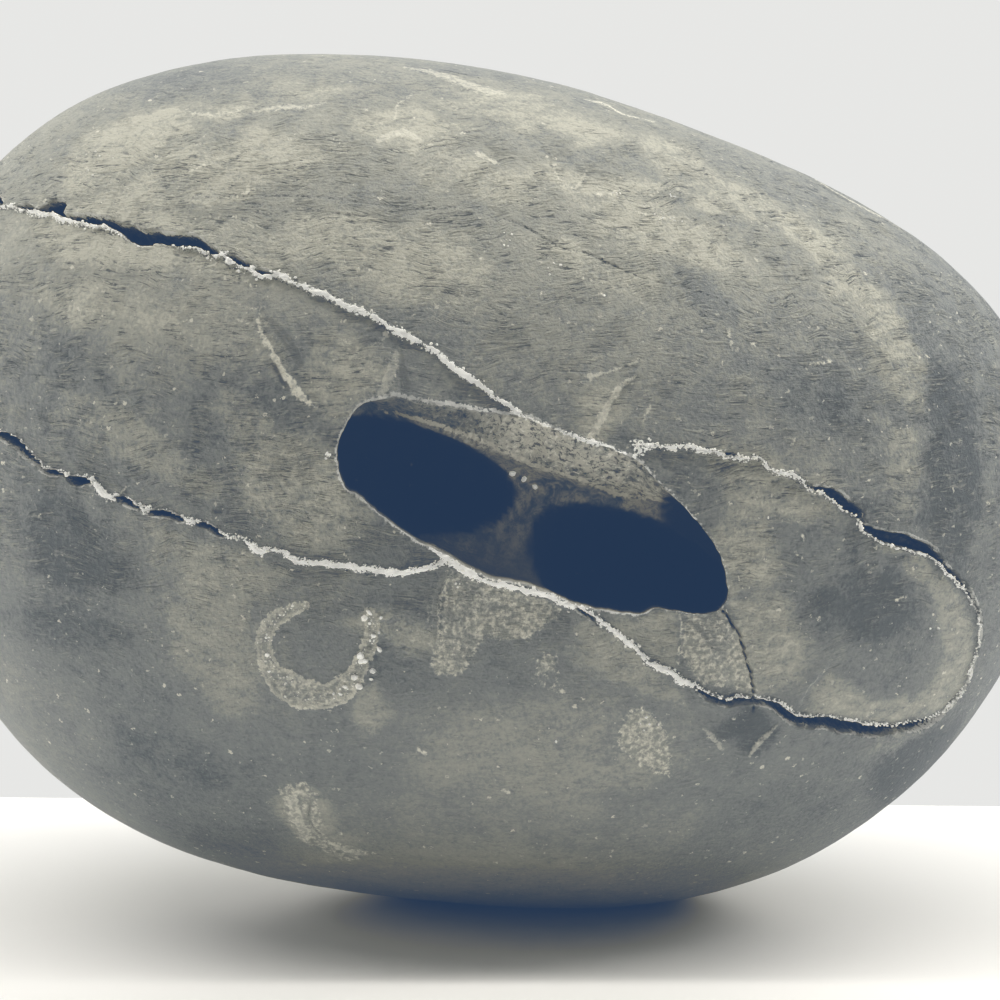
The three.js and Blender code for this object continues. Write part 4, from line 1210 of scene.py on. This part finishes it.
def worn_shale():
    material, shader, wires = new_material("worn shale")
    place = wires.millimetres()
    layer = wires.group(layers, {"Place": place, "Fineness": 1.0})
    cloud = wires.group(clouds, {"Place": place, "Size": 1.0})
    grit = wires.group(specks, {"Place": place, "Per mm": 1.5, "Share": 0.17})["Mask"]
    dust = wires.group(specks, {"Place": place, "Per mm": 2.3, "Share": 0.16})["Mask"]
    side, height = (wires.node("ShaderNodeSeparateXYZ", axis, {"Vector": place}) for axis in "XZ")
    finer = wires.noise(place, 4.5, 2.0, 0.6)
    torn = wires.times(wires.less(cloud["Fine"], 0.5), 0.8)
    torn = wires.add(torn, wires.times(wires.less(finer, 0.5), 0.5))

    def drawn(name, low=0.46, high=0.54, tear=1.0):
        """A mask that is a ramp across an edge, cut off sharply where a fine noise says."""
        return wires.between(wires.add(wires.mask(name), wires.times(torn, tear)), low, high)

    # How light the stone is at a place: clouds, worn areas, dark patches, and painted light and
    # shade: lighter on the upper part and near the bottom, darker towards the right. It is also
    # darker at the very top.
    level = wires.times(cloud["Large"], 0.30)
    level = wires.add(level, wires.times(cloud["Middle"], 0.26))
    level = wires.add(level, wires.times(cloud["Fine"], 0.30))
    level = wires.add(level, wires.times(finer, 0.14))
    streaky = wires.node("ShaderNodeMapping", 0, {"Vector": place, "Scale": (0.45, 0.45, 1.2)})
    wisps = wires.between(wires.noise(streaky, 1.0, 6.0, 0.66, 0.5), 0.36, 0.64)
    wisps = wires.add(wires.times(wisps, 0.85), wires.times(torn, 1.5))
    wisps = wires.add(wisps, 0.45)
    worn = wires.times(wires.mask("pale"), wisps)
    # The lower half is rubbed smoother, so its clouds are fainter.
    clearer = wires.add(0.6, wires.times(wires.between(height, -14, 6), 0.4))
    level = wires.add(0.5, wires.times(wires.less(level, 0.5), clearer))
    level = wires.add(level, wires.times(worn, 0.25))
    level = wires.less(level, wires.times(wires.mask("dark"), 0.11))
    # painted light: the upper part is lighter, as where the light falls from above
    level = wires.add(level, wires.times(wires.between(height, 6, 24), 0.08))
    level = wires.less(level, wires.times(wires.between(height, 31, 35), 0.06))
    # painted light: lighter near the bottom
    level = wires.add(level, wires.times(wires.between(height, -18, -34), 0.05))
    # painted shade: darker towards the right, as if more light came from the left
    level = wires.less(level, wires.times(wires.between(side, 14, 44), 0.05))
    colour = wires.mix(wires.between(level, 0.37, 0.50), INK, SLATE)
    colour = wires.mix(wires.between(level, 0.48, 0.61), colour, ASH)
    colour = wires.mix(wires.between(level, 0.59, 0.78), colour, SAND)

    showing = wires.add(wires.times(wires.between(height, -16, 8), 0.75), 0.25)
    showing = wires.less(showing, wires.times(wires.between(height, 27, 33), 0.5))
    colour = wires.mix(wires.times(wires.times(layer["Light"], showing), 0.5), colour, SAND)
    colour = wires.mix(wires.times(wires.times(layer["Dark"], showing), 0.8), colour, tone(74, 82, 90))
    colour = wires.mix(wires.times(dust, 0.9), colour, tone(228, 226, 214))
    colour = wires.mix(wires.times(grit, 1.5, clamp=True), colour, tone(228, 226, 214))

    # Crusts, the ring and the marks have torn edges and a coarse light and dark grain.
    crumbs = wires.mix(wires.between(cloud["Fine"], 0.40, 0.62), tone(158, 160, 154), tone(218, 216, 203))
    uneven = wires.add(0.45, wires.times(wires.between(cloud["Middle"], 0.40, 0.58), 0.5))
    colour = wires.mix(wires.times(drawn("crust", 0.40, 0.62), uneven), colour, crumbs)
    flakes = wires.between(torn, 0.07, 0.13)
    broken_crust = wires.times(drawn("crust", 0.48, 0.60), flakes)
    colour = wires.mix(wires.times(broken_crust, 0.55), colour, FLAKE)
    ring = drawn("ring", tear=0.7)
    ring_edge = wires.less(ring, drawn("ring", 0.66, 0.74, tear=0.7), clamp=True)
    colour = wires.mix(wires.times(ring, uneven), colour, crumbs)
    colour = wires.mix(wires.times(ring_edge, 0.45), colour, tone(226, 224, 210))
    colour = wires.mix(wires.times(wires.times(ring, flakes), 0.4), colour, FLAKE)
    fibres = wires.add(0.6, wires.times(wires.between(cloud["Fine"], 0.40, 0.56), 0.5))
    mark = wires.times(drawn("mark", 0.34, 0.72, tear=1.3), fibres)
    colour = wires.mix(wires.times(mark, wires.mask("mark paleness")), colour, tone(244, 242, 228))
    # Dark marks: partly dark scratches and pits, partly painted shadow beside raised flakes.
    colour = wires.mix(wires.times(mark, wires.mask("mark darkness and shadow")), colour, tone(62, 70, 78))

    # Calcite lines the rim of the hollow and both lips of an open crack, and fills the threads.
    rim_line = wires.times(drawn("rim", 0.66, 0.82, tear=1.3), wires.times(uneven, 0.8))
    lips = drawn("crack edge", 0.14, 0.24, tear=0.7)
    lips = wires.less(lips, drawn("crack edge", 0.42, 0.50), clamp=True)
    lips = wires.times(lips, wires.between(cloud["Middle"], 0.42, 0.54))
    calcite = drawn("calcite", tear=1.6)
    # A dark band just outside each thread: partly a real crevice, partly painted shadow at the thread's
    # foot.
    crevice_and_shade = wires.less(drawn("calcite", 0.26, 0.36, tear=1.4), calcite, clamp=True)
    crevice_and_shade = wires.times(crevice_and_shade, wires.between(cloud["Fine"], 0.44, 0.54))
    colour = wires.mix(wires.times(crevice_and_shade, 0.75), colour, CREVICE_AND_SHADE)
    colour = wires.mix(rim_line, colour, CALCITE_WHITE)
    colour = wires.mix(wires.times(lips, 0.6), colour, CALCITE_WHITE)
    colour = wires.mix(calcite, colour, CALCITE_WHITE)
    # Open cracks are painted nearly black, mottled with grey rock: painted shade in the gaps.
    crack_floor_and_shade = wires.mix(wires.between(cloud["Fine"], 0.44, 0.64), PAINTED_CRACK_SHADE, tone(104, 107, 108))
    colour = wires.mix(drawn("crack", tear=0.7), colour, crack_floor_and_shade)
    wires.plug(shader.inputs["Base Color"], colour)
    # Calcite and the rim line glow a little: painted light, which makes their white brighter than the lamps
    # alone would.
    painted_glow_share = wires.add(calcite, wires.times(rim_line, 0.5), clamp=True)
    wires.plug(shader.inputs["Emission Color"], wires.mix(painted_glow_share, tone(0, 0, 0), CALCITE_WHITE))
    shader.inputs["Emission Strength"].default_value = PAINTED_CALCITE_GLOW

    rough = wires.add(0.40, wires.times(cloud["Middle"], 0.28))
    rough = wires.add(rough, wires.times(calcite, 0.3), clamp=True)
    wires.plug(shader.inputs["Roughness"], rough)
    relief = wires.add(wires.times(layer["Height"], showing), wires.times(torn, 0.5))
    add_bump(wires, shader, relief, 0.36, 1.0)
    return material


# %% Rock inside the hollow
def hollow_rock():
    material, shader, wires = new_material("hollow rock")
    place = wires.millimetres()
    cloud = wires.group(clouds, {"Place": place, "Size": 0.6})
    mottle = wires.add(wires.times(cloud["Large"], 0.4), wires.times(cloud["Middle"], 0.6))
    grit = wires.group(specks, {"Place": place, "Per mm": 1.4, "Share": 0.06})["Mask"]
    pits = wires.noise(place, 1.9, 5.0, 0.75, 0.5)
    side = wires.node("ShaderNodeSeparateXYZ", "X", {"Vector": place})
    # Pits are painted darker and the highest grain paler: painted shade in pits and painted highlights on
    # ridges.
    pit_shade = wires.times(wires.between(pits, 0.49, 0.40), 0.8)
    to_the_left = wires.times(wires.between(side, 5.0, -1.0), 0.6)
    broken_face = wires.mix(wires.between(mottle, 0.40, 0.60), tone(134, 139, 140), tone(216, 214, 202))
    broken_face = wires.mix(pit_shade, broken_face, tone(60, 69, 80))
    broken_face = wires.mix(wires.between(pits, 0.56, 0.64), broken_face, tone(246, 244, 234))
    broken_face = wires.mix(to_the_left, broken_face, tone(78, 88, 98))
    wall = wires.mix(wires.between(mottle, 0.40, 0.60), tone(104, 110, 118), tone(196, 195, 188))
    wall = wires.mix(wires.times(wires.between(pits, 0.52, 0.42), 0.5), wall, tone(66, 74, 84))
    # painted light: the lower part of the wall is lighter, where light from above falls in through the
    # mouth.
    height = wires.node("ShaderNodeSeparateXYZ", "Z", {"Vector": place})
    wall = wires.mix(wires.times(wires.between(height, 1.0, -5.0), 0.6), wall, tone(222, 220, 210))
    ragged = wires.times(wires.less(pits, 0.5), 1.6)
    lip = wires.between(wires.add(wires.mask("lip"), ragged), 0.44, 0.56)
    ledge = wires.between(wires.add(wires.mask("ledge"), ragged), 0.44, 0.60)
    colour = wires.mix(lip, wall, broken_face)
    colour = wires.mix(wires.times(ledge, 0.75), colour, tone(232, 229, 216))
    # The chambers' walls are painted nearly black: painted shade for the deep hollow.
    colour = wires.mix(wires.mask("chamber"), colour, tone(8, 12, 20))
    colour = wires.mix(wires.times(grit, 0.7), colour, tone(180, 178, 168))
    wires.plug(shader.inputs["Base Color"], colour)
    shader.inputs["Roughness"].default_value = 0.8
    relief = wires.add(wires.times(cloud["Middle"], 0.5), wires.times(cloud["Fine"], 0.6))
    add_bump(wires, shader, relief, 0.45, 1.0)
    return material


# %% Calcite of the grains
def calcite():
    material, shader, wires = new_material("calcite")
    place = wires.millimetres()
    cloud = wires.group(clouds, {"Place": place, "Size": 0.6})["Middle"]
    colour = wires.mix(wires.between(cloud, 0.35, 0.65), tone(236, 234, 226), CALCITE_WHITE)
    wires.plug(shader.inputs["Base Color"], colour)
    shader.inputs["Roughness"].default_value = 0.35
    # The grains glow a little as well: painted light on the white.
    shader.inputs["Emission Color"].default_value = CALCITE_WHITE
    shader.inputs["Emission Strength"].default_value = PAINTED_CALCITE_GLOW
    add_bump(wires, shader, cloud, 0.03, 0.6)
    return material


stone.data.materials.append(worn_shale())
stone.data.materials.append(hollow_rock())
calcite_grains.data.materials.append(calcite())

# %% [markdown]
# ## Studio
# A pale sheet on the table and a pale wall close behind make the plain setting. One long soft
# strip of light hangs overhead: long, so that the shadow's ends are soft, and narrow, so that its
# near edge is crisp. The wall is lit evenly, shows only from its front and casts no shadow, so
# that it never hides the stone from behind.

# %% Table, wall and light
FLOOR_SIZE = 3.0
WALL_BEHIND = 37 * MM
WALL_TURN = math.radians(-2.4)


def flat_sheet(name, corners):
    bm = bmesh.new()
    bm.faces.new([bm.verts.new(c) for c in corners])
    sheet = to_object(bm, name)
    return sheet


half = FLOOR_SIZE / 2
floor = flat_sheet("floor", [(-half, -half, 0), (half, -half, 0), (half, half, 0), (-half, half, 0)])
paper, shader, wires = new_material("white paper")
shader.inputs["Base Color"].default_value = (0.88, 0.88, 0.88, 1)
shader.inputs["Roughness"].default_value = 0.8
floor.data.materials.append(paper)

left, right = (WALL_BEHIND + x * math.tan(WALL_TURN) for x in (-half, half))
wall = flat_sheet("wall", [(-half, left, 0), (half, right, 0), (half, right, 1), (-half, left, 1)])
card = bpy.data.materials.new("wall card")
card.use_nodes = True
tree = card.node_tree
tree.nodes.clear()
glow = tree.nodes.new("ShaderNodeEmission")
glow.inputs["Color"].default_value = (0.80, 0.80, 0.785, 1)
clear = tree.nodes.new("ShaderNodeBsdfTransparent")
side = tree.nodes.new("ShaderNodeNewGeometry")
choice = tree.nodes.new("ShaderNodeMixShader")
result = tree.nodes.new("ShaderNodeOutputMaterial")
tree.links.new(side.outputs["Backfacing"], choice.inputs["Fac"])
tree.links.new(glow.outputs[0], choice.inputs[1])
tree.links.new(clear.outputs[0], choice.inputs[2])
tree.links.new(choice.outputs[0], result.inputs["Surface"])
wall.data.materials.append(card)
wall.visible_shadow = False

LAMPS = [  # name, place, width, height, power
    ("strip above", (0, -0.050, 0.55), 1.15, 0.03, 3.35),
    ("card left", (-0.50, 0.060, 0.14), 0.06, 0.14, 0.54),
    ("card right", (0.50, 0.080, 0.28), 0.06, 0.24, 0.63),
    ("low glow behind", (0.080, 0.50, 0.06), 0.50, 0.08, 3.5),
]
LAMP_COLOUR = (1.0, 0.97, 0.90)
for name, place, width, height, power in LAMPS:
    lamp = bpy.data.lights.new(name, "AREA")
    lamp.shape = "RECTANGLE"
    lamp.size, lamp.size_y = width, height
    lamp.energy = power
    lamp.color = LAMP_COLOUR
    lamp_object = bpy.data.objects.new(name, lamp)
    lamp_object.location = place
    lamp_object.rotation_euler = Vector(place).to_track_quat("Z", "Y").to_euler()
    lamp_object.visible_camera = False
    bpy.context.scene.collection.objects.link(lamp_object)

# The low glow behind is for the table only, or it would bleach the back of the stone.
table_only = bpy.data.collections.new("lit by the low glow")
table_only.objects.link(floor)
lamp_object.light_linking.receiver_collection = table_only

world = bpy.data.worlds.new("soft room")
world.use_nodes = True
world.node_tree.nodes["Background"].inputs["Color"].default_value = (1.0, 0.985, 0.95, 1)
world.node_tree.nodes["Background"].inputs["Strength"].default_value = 0.06
bpy.context.scene.world = world

# %% [markdown]
# The darkest tones are lifted a little and turned blue by a curve on the view, as in the
# developing of a print. The curve leaves the middle tones alone, so the stone's own colours stay
# true.

# %% View
VIEW_CURVES = [  # light in, light out, for red, green and blue
    [(0, 0.018), (0.035, 0.041), (0.12, 0.116), (1, 1)],
    [(0, 0.038), (0.035, 0.058), (0.12, 0.122), (1, 1)],
    [(0, 0.082), (0.035, 0.090), (0.12, 0.128), (1, 1)],
]
view_settings = bpy.context.scene.view_settings
view_settings.view_transform = "Standard"
view_settings.use_curve_mapping = True
for curve, stops in zip(view_settings.curve_mapping.curves, VIEW_CURVES):
    for place, (light_in, light_out) in enumerate(stops):
        if 0 < place < len(stops) - 1:
            point = curve.points.new(light_in, light_out)
        else:
            point = curve.points[0 if place == 0 else -1]
            point.location = (light_in, light_out)
        point.handle_type = "VECTOR"
view_settings.curve_mapping.update()

# %% [markdown]
# ## Ride on the body
# The finished stone rides on the model's one body and stands for its solid.

# %% Ride and replace
for piece in (stone, calcite_grains):
    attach(piece, "root")
    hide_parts("shaligram_stone")
